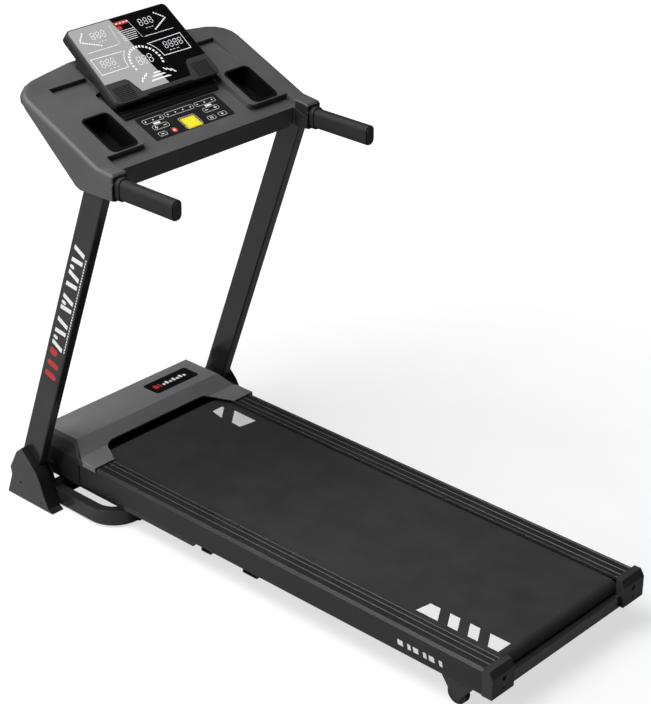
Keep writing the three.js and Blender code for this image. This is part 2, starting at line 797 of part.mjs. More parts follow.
addPair(base, 'handlebar_tube', buildHandleTube(), 'frame');
addPair(base, 'handlebar_grip', buildGrip(), 'grip');

// ---------------------------------------------------------------- deck frame

const ledgeTop = boardBottom - 8.5;
const shaftHalf = frameInner + 8;

function buildSideFrame() {
  const front = hoodFront - 33;
  const step = [
    [railRear, railSkirt], [frameDeepRear, railSkirt], [frameDeepRear + 14, frameFoot],
    [front, frameFoot], [front, frameTop], [railRear, frameTop],
  ];
  const bore = inset(step, TUBE);
  bore[0][0] -= 2 * TUBE;
  bore[5][0] -= 2 * TUBE;
  const tube = cut(
    prism('x', step, frameInner, frameOuter),
    prism('x', bore, frameInner + TUBE, frameOuter - TUBE));
  const ledge = box(runHalf + 6, frameInner + 0.5, boardRear, boardFront - 5,
    ledgeTop - 4, ledgeTop);
  const shaftHole = (y) => rod('x', rollerShaft + GAP, frameInner - 1, frameInner + TUBE + 1,
    [y, rollerZ]);
  const pivotHole = rod('x', pivotRadius + GAP, frameInner - 1, frameOuter + 1, [pivotY, pivotZ]);
  return cut(join(tube, ledge), shaftHole(frontRollerY), shaftHole(rearRollerY), pivotHole);
}

function buildRail() {
  const rib = 1.2;
  const skin = railTop - 4;
  const low = railTop - rib;
  const x = (offset) => runHalf + offset;
  const frameSeat = frameTop + GAP;
  const profile = [
    [x(0), beltTop + 1], [x(2.5), beltTop + 1], [x(2.5), skin],
    [frameInner + 3, skin], [frameInner + 3, frameSeat],
    [frameInner + 6, frameSeat], [frameInner + 6, skin],
    [frameOuter - 6, skin], [frameOuter - 6, frameSeat],
    [frameOuter - 3, frameSeat], [frameOuter - 3, skin - 1],
    [railOuter - railWall, skin - 6], [railOuter - railWall, railSkirt],
    [railOuter, railSkirt], [railOuter, railTop - 6],
    [railOuter - 5.5, railTop], [x(52), railTop], [x(51), low],
    [x(37), low], [x(36), railTop], [x(34), railTop], [x(33), low],
    [x(19), low], [x(18), railTop], [x(16), railTop], [x(15), low],
    [x(5), low], [x(4), railTop], [x(0), railTop],
  ];
  return prism('y', profile, railRear, railFront);
}

function buildBoard() {
  const half = frameInner - 4;
  return box(-half, half, boardRear, boardFront, boardBottom, boardTop);
}

function buildCushion() {
  return box(runHalf + 7, frameInner - 4, boardRear + 8, boardFront - 12,
    ledgeTop + GAP, boardBottom - GAP);
}

function buildBelt() {
  const front = [frontRollerY, rollerZ];
  const rear = [rearRollerY, rollerZ];
  return cut(
    prism('x', beltOutline(rear, beltOuter, front, beltOuter, 14), -beltHalf, beltHalf),
    prism('x', beltOutline(rear, beltInner, front, beltInner, 14), -beltHalf - 1, beltHalf + 1));
}

function buildRoller(y) {
  const centre = [y, rollerZ];
  return join(
    rod('x', rollerRadius, -beltHalf - 1, beltHalf + 1, centre, 32),
    rod('x', rollerShaft, -shaftHalf, shaftHalf, centre));
}

const pulleyIn = runHalf + 4;
const pulleyOut = pulleyIn + 18;
const rollerPulley = 24;
const motorPulley = 11;
const motorCentre = [pivotY - 7.5, 108];

function buildFrontRoller() {
  const pulley = rod('x', rollerPulley, -pulleyOut, -pulleyIn, [frontRollerY, rollerZ], 32);
  return join(buildRoller(frontRollerY), pulley);
}

function buildDriveBelt() {
  const roller = [frontRollerY, rollerZ];
  return cut(
    prism('x', beltOutline(roller, rollerPulley + GAP + 2, motorCentre, motorPulley + GAP + 2, 12),
      -pulleyOut + 2, -pulleyIn - 2),
    prism('x', beltOutline(roller, rollerPulley + GAP, motorCentre, motorPulley + GAP, 12),
      -pulleyOut, -pulleyIn));
}

const motorInner = -40;
const motorOuter = -195;

function buildMotor() {
  const [y, z] = motorCentre;
  const can = rod('x', 42, motorOuter, motorInner, motorCentre, 32);
  const bell = rod('x', 30, motorInner - 1, motorInner + 12, motorCentre);
  const feet = box(motorOuter + 12, motorInner - 12, y - 32, y + 32, hoodBottom + GAP, z - 30);
  const bore = rod('x', 6 + GAP, motorOuter - 1, motorOuter + 60, motorCentre);
  return cut(join(can, bell, feet), bore);
}

function buildMotorPulley() {
  return join(
    rod('x', motorPulley, -pulleyOut, -pulleyIn, motorCentre),
    rod('x', 6, -pulleyIn - 1, motorOuter + 50, motorCentre));
}

function buildEndCap() {
  const lip = railTop + 3;
  const rear = deckRear;
  const block = prism('x', [
    [rear + capLength, railSkirt], [rear + capLength, lip], [rear + 10, lip],
    [rear, lip - 16], [rear, railSkirt],
  ].reverse(), runHalf - 11, hoodHalf);
  const beltNotch = box(runHalf - 12, runHalf + 0.5, rear + capLength - 4, rear + capLength + 1,
    railSkirt - 1, lip + 1);
  const upperHole = rod('y', 6.5, rear - 1, rear + 12, [runHalf + 24, 102]);
  const lowerHole = rod('y', 3, rear - 1, rear + 12, [runHalf + 24, 78], 12);
  return cut(block, beltNotch, upperHole, lowerHole);
}

function buildRearCrossBar() {
  const half = runHalf - 11 - GAP;
  const front = deckRear + capLength - 5;
  return cut(
    box(-half, half, front - 14, front, railSkirt, railSkirt + 30),
    box(-half - 1, half + 1, front - 12, front - 2, railSkirt - 1, railSkirt + 28));
}

function buildCrossMember(rear, front) {
  const bottom = railSkirt - GAP - 12;
  const top = railSkirt - GAP;
  return cut(
    box(-frameOuter, frameOuter, rear, front, bottom, top),
    box(-frameOuter - 1, frameOuter + 1, rear + TUBE, front - TUBE, bottom + TUBE, top - TUBE));
}

const strutDeckY = pivotY - 500;

function buildStrutMember() {
  const front = strutDeckY - 32;
  const bottom = railSkirt - GAP - 12;
  const cheekIn = strutEyeHalf + GAP;
  const cheek = prism('x', [
    [front - 1, bottom + 1], [strutDeckY + 4, strutZ - 9], [strutDeckY + 12, strutZ - 4],
    [strutDeckY + 12, strutZ + 6], [strutDeckY + 2, strutZ + 10], [front - 1, bottom + 12],
  ], cheekIn, cheekIn + plateThickness);
  return join(buildCrossMember(front - 30, front), cheek, mirrored(cheek));
}

const strutTubeLength = 250;
const strutTubeRadius = 9;
const rodRadius = 4;

function buildStrutCylinder() {
  const eye = rod('x', strutEye, -strutEyeHalf, strutEyeHalf, [strutBaseY, strutZ]);
  const far = strutBaseY - 12 - strutTubeLength;
  const tube = rod('y', strutTubeRadius, far, strutBaseY - 8, [0, strutZ]);
  const bore = rod('y', rodRadius + GAP, far - 1, strutBaseY - 34, [0, strutZ]);
  const pinHole = rod('x', pinRadius + GAP, -50, 50, [strutBaseY, strutZ]);
  return cut(join(eye, tube), bore, pinHole);
}

function buildStrutRod() {
  const eye = rod('x', strutEye, -strutEyeHalf, strutEyeHalf, [strutDeckY, strutZ]);
  const bar = rod('y', rodRadius, strutDeckY + 6, strutBaseY - 40, [0, strutZ]);
  return join(eye, bar);
}

const rearWheelX = runHalf + 44.5;
const rearWheelY = deckRear + 102;

function buildRearWheelBracket() {
  const top = railSkirt - GAP;
  const inner = rearWheelX - 12;
  const outer = rearWheelX + 12;
  const side = [
    [rearWheelY + 43, top], [rearWheelY + 16, rearWheelRadius + 1], [rearWheelY + 6, 12],
    [rearWheelY - 8, 11], [rearWheelY - 18, rearWheelRadius], [rearWheelY - 48, top],
  ].reverse();
  const cheeks = cut(prism('x', side, inner, outer),
    box(inner + 3, outer - 3, rearWheelY - 80, rearWheelY + 80, 0, top - 3));
  const axle = rod('x', 5, inner + 1, outer - 1, [rearWheelY, rearWheelRadius]);
  return join(cheeks, axle);
}

addPair(deck, 'deck_side_frame', buildSideFrame(), 'frame');
addPair(deck, 'side_rail', buildRail(), 'rail');
add(deck, 'running_deck', buildBoard(), 'board');
addPair(deck, 'deck_cushion', buildCushion(), 'rubber');
add(deck, 'running_belt', buildBelt(), 'belt');
add(deck, 'front_roller', buildFrontRoller(), 'steel');
add(deck, 'rear_roller', buildRoller(rearRollerY), 'steel');
addPair(deck, 'rear_end_cap', buildEndCap(), 'shell');
add(deck, 'rear_cross_bar', buildRearCrossBar(), 'frame');
add(deck, 'deck_cross_member', buildCrossMember(-50, -5), 'frame');
add(deck, 'strut_cross_member', buildStrutMember(), 'frame');
addPair(deck, 'rear_wheel_bracket', buildRearWheelBracket(), 'frame');
addPair(deck, 'rear_wheel', buildWheel(
  rearWheelRadius, 5, rearWheelX - 8, rearWheelX + 8, rearWheelY, rearWheelRadius), 'rubber');
add(deck, 'strut_cylinder', buildStrutCylinder(), 'black');
add(deck, 'strut_rod', buildStrutRod(), 'steel');

// ---------------------------------------------------------------- motor bay

const inletX = 165;
const switchX = 110;
const breakerX = 75;
const panelZ = 82;

function buildHood() {
  const profile = [
    [bayRear, hoodBottom], [hoodFront, hoodBottom], [hoodFront, 104], [hoodFront - 8, 148],
    [hoodFront - 21, hoodTop], [plateauY, hoodTop], [throatY - 8, railTop + 6],
    [bayRear, railTop + 3.5],
  ];
  const flank = (grow) => [
    [hoodHalf + grow, 0], [hoodHalf + grow, railTop + 3.5], [plateauHalf + grow, hoodTop + grow],
    [-plateauHalf - grow, hoodTop + grow], [-hoodHalf - grow, railTop + 3.5],
    [-hoodHalf - grow, 0],
  ];
  const plan = (grow) => [
    [-hoodHalf - grow, bayRear - 1], [hoodHalf + grow, bayRear - 1],
    [hoodHalf + grow, hoodFront - 30], [hoodHalf - 22 + grow, hoodFront + grow],
    [-hoodHalf + 22 - grow, hoodFront + grow], [-hoodHalf - grow, hoodFront - 30],
  ];
  const hollow = inset(profile, COVER);
  hollow[0][1] -= 2 * COVER;
  hollow[1][1] -= 2 * COVER;
  const body = (outline, grow) => prism('x', outline, -400, 400)
    .intersect(prism('y', flank(grow), bayRear - 50, hoodFront + 50))
    .intersect(prism('z', plan(grow), hoodBottom - 20, hoodTop + 20));
  const throat = new THREE.Shape();
  const wide = runHalf - 3;
  throat.moveTo(-wide, bayRear - 20);
  throat.lineTo(wide, bayRear - 20);
  throat.lineTo(wide, bayRear + 8);
  throat.quadraticCurveTo(wide - 14, throatY - 40, wide - 22, throatY - 18);
  throat.quadraticCurveTo(wide - 32, throatY, wide - 54, throatY);
  throat.lineTo(-wide + 54, throatY);
  throat.quadraticCurveTo(-wide + 32, throatY, -wide + 22, throatY - 18);
  throat.quadraticCurveTo(-wide + 14, throatY - 40, -wide, bayRear + 8);
  throat.closePath();
  const railSpace = box(-railOuter - GAP, railOuter + GAP, bayRear - 20, railFront + 30,
    0, railTop + GAP);
  const belowEars = box(-500, 500, bayRear - 20, railFront + GAP, 0, railTop - 9);
  const bolt = rod('x', pivotRadius + 1, -400, 400, [pivotY, pivotZ]);
  const inlet = box(inletX - 15, inletX + 15, hoodFront - 20, hoodFront + 5,
    panelZ - 13, panelZ + 13);
  const rocker = box(switchX - 10.5, switchX + 10.5, hoodFront - 20, hoodFront + 5,
    panelZ - 13.6, panelZ + 13.6);
  const breaker = rod('y', 6.4, hoodFront - 20, hoodFront + 5, [breakerX, panelZ]);
  return cut(body(profile, 0), body(hollow, -COVER), extrude('z', throat, 0, 400), railSpace,
    belowEars, bolt, inlet, rocker, breaker);
}

function buildBellyPan() {
  const half = frameInner - GAP;
  return box(-half, half, throatY + 28, hoodFront - 6, hoodBottom - 5, hoodBottom);
}

function buildController() {
  const low = hoodBottom + GAP;
  const plate = box(60, 200, 600, 700, low, low + 8);
  const fins = [];
  for (let i = 0; i < 6; i += 1) {
    fins.push(box(75 + 20 * i, 79 + 20 * i, 605, 695, low + 7, low + 32));
  }
  return join(plate, ...fins);
}

function buildInlet() {
  const low = panelZ - 13 + GAP;
  const high = panelZ + 13 - GAP;
  const body = box(inletX - 14.7, inletX + 14.7, hoodFront - 19, hoodFront + GAP, low, high);
  const flange = box(inletX - 18, inletX + 18, hoodFront + GAP - 0.01, hoodFront + 2,
    low - 3, high + 3);
  const socket = box(inletX - 11.5, inletX + 11.5, hoodFront - 15, hoodFront + 5,
    panelZ - 8, panelZ + 8);
  const blade = (x, z) => box(x - 1, x + 1, hoodFront - 16, hoodFront - 3, z - 2, z + 2);
  return join(cut(join(body, flange), socket),
    blade(inletX - 7, panelZ - 2), blade(inletX, panelZ + 3), blade(inletX + 7, panelZ - 2));
}

function buildSwitch() {
  const y = hoodFront - 4;
  return prism('x', [
    [y - 5, panelZ - 12.8], [y + 5, panelZ - 12.8], [y + 3.5, panelZ],
    [y + 5, panelZ + 12.8], [y - 5, panelZ + 12.8],
  ], switchX - 10, switchX + 10);
}

function buildBreaker() {
  return rod('y', 6, hoodFront - 12, hoodFront + 4, [breakerX, panelZ]);
}

add(deck, 'motor_hood', buildHood(), 'hood');
add(deck, 'belly_pan', buildBellyPan(), 'frame');
add(deck, 'motor', buildMotor(), 'motor');
add(deck, 'motor_pulley', buildMotorPulley(), 'steel');
add(deck, 'drive_belt', buildDriveBelt(), 'rubber');
add(deck, 'motor_controller', buildController(), 'steel');
add(deck, 'power_inlet', buildInlet(), 'black');
add(deck, 'power_switch', buildSwitch(), 'black');
add(deck, 'breaker_button', buildBreaker(), 'black');

export default treadmill;
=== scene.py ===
import json
import math

import bmesh
import bpy
from mathutils import Matrix, Vector


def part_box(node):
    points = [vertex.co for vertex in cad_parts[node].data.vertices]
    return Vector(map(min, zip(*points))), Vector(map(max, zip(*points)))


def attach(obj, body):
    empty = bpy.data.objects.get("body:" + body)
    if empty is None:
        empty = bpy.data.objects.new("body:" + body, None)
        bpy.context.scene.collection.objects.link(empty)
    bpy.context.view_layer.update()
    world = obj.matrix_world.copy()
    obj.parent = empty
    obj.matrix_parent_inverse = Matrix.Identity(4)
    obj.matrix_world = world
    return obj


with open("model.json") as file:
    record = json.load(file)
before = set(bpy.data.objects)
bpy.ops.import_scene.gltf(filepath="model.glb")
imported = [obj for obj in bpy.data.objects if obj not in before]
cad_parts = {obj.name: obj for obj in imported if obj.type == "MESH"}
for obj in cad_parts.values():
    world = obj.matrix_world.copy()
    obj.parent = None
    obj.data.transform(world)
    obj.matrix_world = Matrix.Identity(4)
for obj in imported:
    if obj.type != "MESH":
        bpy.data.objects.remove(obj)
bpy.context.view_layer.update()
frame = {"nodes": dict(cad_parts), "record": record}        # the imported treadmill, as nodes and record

MM = 0.001

# ------------------------------------------------------------------ sizes of the frame, in metres

BELT_LOW, BELT_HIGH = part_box("running_belt")
RAIL_SIDE = abs(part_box("left_side_rail")[0].x)
CAP_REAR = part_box("left_rear_end_cap")[0].y
HOOD_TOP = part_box("motor_hood")[1].z
POST_SIDE = abs(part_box("left_upright")[0].x)
COVER_SIDE = abs(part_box("left_foot_cover")[0].x)

POST_LEAN = math.radians(19.5)
POST_FRONT = 0.695           # an upright's front face at the height of the rails
POST_HALF_DEPTH = 0.0336     # half an upright's depth, measured level
RAIL_TOP = 0.128
MARKS_FOOT = 0.365           # height at which the uprights' marks start
CONSOLE_TILT = math.radians(23.5)
DISPLAY_TILT = math.radians(35.5)
CONSOLE_CENTRE = Vector((0, 0.44503, 1.0005))
DISPLAY_FOOT = CONSOLE_CENTRE + Vector((0, 0.0365, 0.0375))
CONSOLE = Matrix.Translation(CONSOLE_CENTRE) @ Matrix.Rotation(CONSOLE_TILT, 4, "X")
DISPLAY = Matrix.Translation(DISPLAY_FOOT) @ Matrix.Rotation(DISPLAY_TILT, 4, "X")
KEYPAD_TOP = -13.7           # below the console's top plane, in mm
SAFETY_TOP = -13.1
LIFT = 0.01                  # clearance under a printed layer, in mm
PRINT = 0.06                 # upper side of a printed layer, in mm
FLOOR_GLOW = 0.67            # of the floor close to the treadmill
# The next four sizes bound the painted shade on the hood's flanks.
HOOD_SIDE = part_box("motor_hood")[1].x
HOOD_TOP_SIDE = HOOD_SIDE - 0.031
HOOD_TOP_REAR = 0.590        # rear edge of the hood's flat top
HOOD_EAR_FRONT = 0.535       # front end of the hood's ears over the rails
CONSOLE_LOW, CONSOLE_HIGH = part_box("console_top_shell")
# The next three sizes bound the console's darker arm faces and its painted shade.
ARM_INNER = CONSOLE_HIGH.x - 50 * MM
ARM_REAR = CONSOLE_LOW.y
LIP_REAR = ARM_REAR + 41 * MM


# ------------------------------------------------------------------ shader tools

def put(tree, kind, inputs=(), **settings):
    """Adds a shader node, with its settings, and sets or joins its inputs."""
    node = tree.nodes.new("ShaderNode" + kind)
    for name, value in settings.items():
        setattr(node, name, value)
    for name, value in dict(inputs).items():
        if isinstance(value, bpy.types.NodeSocket):
            tree.links.new(value, node.inputs[name])
        else:
            node.inputs[name].default_value = value
    return node


def calc(tree, operation, a, b=0.0, clamp=False):
    node = put(tree, "Math", {0: a, 1: b}, operation=operation, use_clamp=clamp)
    return node.outputs[0]


def blend_colour(tree, factor, a, b):
    node = put(tree, "Mix", {0: factor, 6: a, 7: b}, data_type="RGBA")
    return node.outputs[2]


def ramp(tree, value, low, high, to_low=0.0, to_high=1.0):
    limits = {"Value": value, "From Min": low, "From Max": high, "To Min": to_low, "To Max": to_high}
    return put(tree, "MapRange", limits).outputs["Result"]


def effect(name, values, results):
    """An empty shared node group with the named number sockets in and out."""
    tree = bpy.data.node_groups.new(name, "ShaderNodeTree")
    for label, value in values.items():
        socket = tree.interface.new_socket(label, in_out="INPUT", socket_type="NodeSocketFloat")
        socket.default_value = value
    for label in results:
        tree.interface.new_socket(label, in_out="OUTPUT", socket_type="NodeSocketFloat")
    return tree, tree.nodes.new("NodeGroupInput").outputs, tree.nodes.new("NodeGroupOutput").inputs


def place(tree):
    return put(tree, "TexCoord").outputs["Object"]


def noise(tree, where, scale, detail=2.0):
    node = put(tree, "TexNoise", {"Vector": where, "Scale": scale, "Detail": detail})
    return node.outputs[0]


# ------------------------------------------------------------------ effects that finishes share

def moulded_grain():
    """Fine grain of a spark-eroded mould, and a slow drift in tone over the surface."""
    tree, given, result = effect("moulded grain", {"Size mm": 0.6}, ["Height", "Drift"])
    scale = calc(tree, "DIVIDE", 1000.0, given["Size mm"])
    where = place(tree)
    tree.links.new(noise(tree, where, scale), result["Height"])
    tree.links.new(noise(tree, where, 9.0, 3.0), result["Drift"])
    return tree


def edge_wear_and_highlight():
    """Edges rubbed bright, broken up by noise; on the rails the same tint is a painted highlight along
    the ribs.
    """
    tree, given, result = effect("rubbed edges and painted highlight", {"Width": 0.0015, "Amount": 0.5}, ["Wear"])
    rounded = put(tree, "Bevel", {"Radius": given["Width"]}, samples=4)
    flat = put(tree, "NewGeometry").outputs["Normal"]
    turn = put(tree, "VectorMath", {0: rounded.outputs[0], 1: flat}, operation="DOT_PRODUCT")
    edge = ramp(tree, turn.outputs["Value"], 0.995, 0.86)
    patchy = ramp(tree, noise(tree, place(tree), 70.0, 4.0), 0.35, 0.65, 0.35, 1.0)
    rub_and_highlight_mask = calc(tree, "MULTIPLY", calc(tree, "MULTIPLY", edge, patchy), given["Amount"], True)
    tree.links.new(rub_and_highlight_mask, result["Wear"])
    return tree


def settled_dust():
    """Thin dust on faces that look up."""
    tree, given, result = effect("settled dust", {"Amount": 0.1}, ["Dust"])
    coords = put(tree, "TexCoord")
    up = put(tree, "SeparateXYZ", {0: coords.outputs["Normal"]}).outputs["Z"]
    facing = ramp(tree, up, 0.55, 1.0)
    cloud = ramp(tree, noise(tree, coords.outputs["Object"], 24.0, 6.0), 0.35, 0.75)
    speck = ramp(tree, noise(tree, coords.outputs["Object"], 900.0, 1.0), 0.55, 0.75, 0.3, 1.0)
    film = calc(tree, "MULTIPLY", calc(tree, "MULTIPLY", facing, cloud), speck)
    tree.links.new(calc(tree, "MULTIPLY", film, given["Amount"], True), result["Dust"])
    return tree


def drawn_lines():
    """Streaks along the treadmill, as on an extruded rail or a belt that has run."""
    tree, given, result = effect("drawn lines", {"Across": 900.0, "Along": 4.0}, ["Streak"])
    parts = put(tree, "SeparateXYZ", {0: place(tree)})
    across = calc(tree, "MULTIPLY", parts.outputs["X"], given["Across"])
    along = calc(tree, "MULTIPLY", parts.outputs["Y"], given["Along"])
    depth = calc(tree, "MULTIPLY", parts.outputs["Z"], given["Across"])
    where = put(tree, "CombineXYZ", {0: across, 1: along, 2: depth}).outputs[0]
    tree.links.new(noise(tree, where, 1.0, 3.0), result["Streak"])
    return tree


def belt_weave():
    """The belt's small diamond emboss, as height and as a mask of the high spots."""
    tree, given, result = effect("belt weave", {"Pitch mm": 2.4}, ["Height", "High spots"])
    parts = put(tree, "SeparateXYZ", {0: place(tree)})
    turns = calc(tree, "DIVIDE", 2000.0 * math.pi, given["Pitch mm"])
    total = calc(tree, "ADD", parts.outputs["X"], parts.outputs["Y"])
    gap = calc(tree, "SUBTRACT", parts.outputs["X"], parts.outputs["Y"])
    one = calc(tree, "SINE", calc(tree, "MULTIPLY", total, turns))
    two = calc(tree, "SINE", calc(tree, "MULTIPLY", gap, turns))
    height = calc(tree, "MAXIMUM", calc(tree, "ABSOLUTE", one), calc(tree, "ABSOLUTE", two))
    tree.links.new(height, result["Height"])
    tree.links.new(ramp(tree, height, 0.75, 1.0), result["High spots"])
    return tree


def foam_cells():
    """Small closed cells of moulded foam."""
    tree, given, result = effect("foam cells", {"Size mm": 1.1}, ["Height", "Pits"])
    scale = calc(tree, "DIVIDE", 1000.0, given["Size mm"])
    cells = put(tree, "TexVoronoi", {"Vector": place(tree), "Scale": scale})
    distance = cells.outputs["Distance"]
    tree.links.new(distance, result["Height"])
    tree.links.new(ramp(tree, distance, 0.35, 0.05), result["Pits"])
    return tree


GRAIN = moulded_grain()
WEAR_AND_HIGHLIGHT = edge_wear_and_highlight()
DUST = settled_dust()
LINES = drawn_lines()
WEAVE = belt_weave()
FOAM = foam_cells()


def shared(tree, group, **values):
    """Places a shared effect in a material with its own values."""
    node = tree.nodes.new("ShaderNodeGroup")
    node.node_tree = group
    for name, value in values.items():
        node.inputs[name.replace("_", " ")].default_value = value
    return node.outputs


# ------------------------------------------------------------------ finishes

class Finish:
    """A material under construction: colour, roughness and height grow step by step."""

    def __init__(self, name, colour, roughness, metallic=0.0, coat=0.0, ior=1.5):
        self.material = bpy.data.materials.new(name)
        self.material.use_nodes = True
        self.tree = self.material.node_tree
        self.shader = self.tree.nodes["Principled BSDF"]
        self.shader.inputs["Metallic"].default_value = metallic
        self.shader.inputs["Coat Weight"].default_value = coat
        self.shader.inputs["Coat Roughness"].default_value = 0.08
        self.shader.inputs["IOR"].default_value = ior
        self.colour = (*colour, 1.0)
        self.base = self.colour
        self.roughness = roughness
        self.normal = put(self.tree, "Bevel", {"Radius": 0.7 * MM}, samples=4).outputs[0]

    def tint(self, mask, colour):
        self.colour = blend_colour(self.tree, mask, self.colour, (*colour, 1.0))

    def roughen(self, mask, low, high, centre=(0.3, 0.7)):
        self.roughness = ramp(self.tree, mask, centre[0], centre[1], low, high)

    def bump(self, height, depth, strength=1.0):
        """Depth is in mm. A later bump lies on top of an earlier one."""
        inputs = {"Height": height, "Distance": depth * MM, "Strength": strength, "Normal": self.normal}
        self.normal = put(self.tree, "Bump", inputs).outputs["Normal"]

    def grain(self, size, depth, light, low, high):
        """Grain in mm, with a slow drift towards a lighter tone and from low to high roughness."""
        out = shared(self.tree, GRAIN, Size_mm=size)
        self.tint(ramp(self.tree, out["Drift"], 0.3, 0.7), light)
        self.roughen(out["Drift"], low, high)
        self.bump(out["Height"], depth)

    def wear_and_highlight(self, colour, amount, width=0.0012):
        self.tint(shared(self.tree, WEAR_AND_HIGHLIGHT, Amount=amount, Width=width)["Wear"], colour)

    def dust(self, amount, colour=(0.30, 0.30, 0.29)):
        self.tint(shared(self.tree, DUST, Amount=amount)["Dust"], colour)

    def done(self):
        self.tree.links.new(self.normal, self.shader.inputs["Normal"])
        for name, value in (("Base Color", self.colour), ("Roughness", self.roughness)):
            socket = self.shader.inputs[name]
            if isinstance(value, bpy.types.NodeSocket):
                self.tree.links.new(value, socket)
            else:
                socket.default_value = value
        return self.material


def plastic(name, tone, light, rough, size=0.7, wear_and_highlight=0.35, dust=0.05, ior=1.5):
    finish = Finish(name, (tone, tone, tone * 1.03), rough, ior=ior)
    finish.grain(size, 0.02, (light, light, light * 1.03), rough - 0.05, rough + 0.07)
    finish.wear_and_highlight((light * 2.2,) * 3, wear_and_highlight)
    finish.dust(dust)
    return finish.done()


def beyond(tree, axis, limit):
    """1 where the size of a coordinate is over a limit in metres, and 0 where it isn't."""
    value = put(tree, "SeparateXYZ", {0: place(tree)}).outputs[axis]
    return calc(tree, "GREATER_THAN", calc(tree, "ABSOLUTE", value), limit)


def hood_painted_light_and_shade():
    """The hood is light on top, its tone painted lighter to make up for the console's shadow over it; its
    flanks beside the uprights carry painted shade, dark grey and then near black.
    """
    # Base tone painted lighter, making up for the console's shadow over the hood.
    finish = Finish("hood plastic with painted light and shade", (0.165, 0.165, 0.170), 0.46)
    finish.grain(0.7, 0.02, (0.190, 0.190, 0.196), 0.42, 0.54)
    finish.wear_and_highlight((0.36, 0.36, 0.36), 0.35)
    finish.dust(0.05)
    tree = finish.tree
    parts = put(tree, "SeparateXYZ", {0: place(tree)}).outputs
    side = calc(tree, "ABSOLUTE", parts["X"])
    # Painted shade: dark grey beyond the flat top's edge, and near black 9 mm further out.
    edge = ramp(tree, parts["Y"], HOOD_EAR_FRONT, HOOD_TOP_REAR, HOOD_SIDE + MM, HOOD_TOP_SIDE)
    finish.tint(calc(tree, "GREATER_THAN", side, edge), (0.030, 0.030, 0.031))
    near_black_shade_edge = calc(tree, "ADD", edge, 9 * MM)
    finish.tint(calc(tree, "GREATER_THAN", side, near_black_shade_edge), (0.008, 0.008, 0.008))
    return finish.done()


def console_plastic_with_shade():
    """The console is light; the inner faces of its arms behind the lip are darker, and the arms' rear
    ends carry painted shade.
    """
    finish = Finish("console plastic with painted shade", (0.071, 0.071, 0.073), 0.52)
    finish.grain(0.7, 0.02, (0.086, 0.086, 0.088), 0.47, 0.59)
    finish.wear_and_highlight((0.19, 0.19, 0.19), 0.35)
    finish.dust(0.05)
    tree = finish.tree
    # Darker inner faces of the arms behind the lip.
    inside = calc(tree, "SUBTRACT", 1.0, beyond(tree, "X", ARM_INNER + 3 * MM))
    behind = calc(tree, "SUBTRACT", 1.0, beyond(tree, "Y", LIP_REAR))
    # Painted shade on the arms' rear ends.
    end = calc(tree, "SUBTRACT", 1.0, beyond(tree, "Y", ARM_REAR + 2 * MM))
    dark = calc(tree, "MAXIMUM", calc(tree, "MULTIPLY", inside, behind), end)
    finish.tint(dark, (0.010, 0.010, 0.010))
    return finish.done()


def foot_cover_plastic_with_shade():
    """The foot covers are light on their outer face, with painted shade on every other face."""
    finish = Finish("foot cover plastic with painted shade", (0.050, 0.050, 0.052), 0.42)
    finish.grain(0.7, 0.02, (0.062, 0.062, 0.064), 0.37, 0.49)
    finish.wear_and_highlight((0.14, 0.14, 0.14), 0.35)
    finish.dust(0.05)
    # Painted shade on all but the outer face.
    cover_shade_mask = calc(finish.tree, "SUBTRACT", 1.0, beyond(finish.tree, "X", COVER_SIDE - 1.5 * MM))
    finish.tint(cover_shade_mask, (0.008, 0.008, 0.008))
    return finish.done()


def powder_coat():
    finish = Finish("black powder coat", (0.016, 0.016, 0.017), 0.22, coat=0.35)
    finish.grain(2.2, 0.03, (0.022, 0.022, 0.023), 0.18, 0.27)
    finish.wear_and_highlight((0.09, 0.09, 0.092), 0.35)
    finish.dust(0.03)
    return finish.done()


def rail_extrusion():
    finish = Finish("rail extrusion", (0.013, 0.013, 0.014), 0.42)
    finish.grain(0.5, 0.012, (0.018, 0.018, 0.019), 0.36, 0.48)
    streak = shared(finish.tree, LINES, Across=1600.0, Along=3.0)["Streak"]
    finish.tint(ramp(finish.tree, streak, 0.45, 0.75, 0.0, 0.7), (0.028, 0.028, 0.029))
    finish.bump(streak, 0.03)
    # On the rails this bright edge tint is a painted highlight along the rib edges.
    finish.wear_and_highlight((0.42, 0.42, 0.43), 1.0, 0.0013)
    finish.dust(0.05)
    return finish.done()


def rubber():
    finish = Finish("black rubber", (0.014, 0.014, 0.014), 0.62)
    finish.grain(0.9, 0.05, (0.024, 0.024, 0.024), 0.55, 0.78)
    finish.wear_and_highlight((0.06, 0.058, 0.055), 0.5, 0.002)
    finish.dust(0.1)
    return finish.done()


def grip_foam():
    finish = Finish("grip foam", (0.013, 0.013, 0.014), 0.66, ior=1.4)
    finish.grain(0.5, 0.03, (0.019, 0.019, 0.020), 0.58, 0.74)
    cells = shared(finish.tree, FOAM, Size_mm=1.3)
    finish.tint(calc(finish.tree, "MULTIPLY", cells["Pits"], 0.6), (0.006, 0.006, 0.006))
    finish.bump(cells["Height"], 0.12)
    finish.wear_and_highlight((0.045, 0.045, 0.045), 0.3, 0.003)
    return finish.done()


def belt_cover():
    finish = Finish("embossed belt", (0.018, 0.018, 0.019), 0.60)
    finish.grain(0.4, 0.02, (0.025, 0.025, 0.026), 0.55, 0.67)
    weave = shared(finish.tree, WEAVE, Pitch_mm=2.4)
    finish.tint(calc(finish.tree, "MULTIPLY", weave["High spots"], 0.5), (0.036, 0.036, 0.037))
    streak = shared(finish.tree, LINES, Across=60.0, Along=1.2)["Streak"]
    finish.tint(ramp(finish.tree, streak, 0.5, 0.8, 0.0, 0.35), (0.034, 0.034, 0.034))
    finish.bump(weave["Height"], 0.12)
    finish.dust(0.04)
    return finish.done()


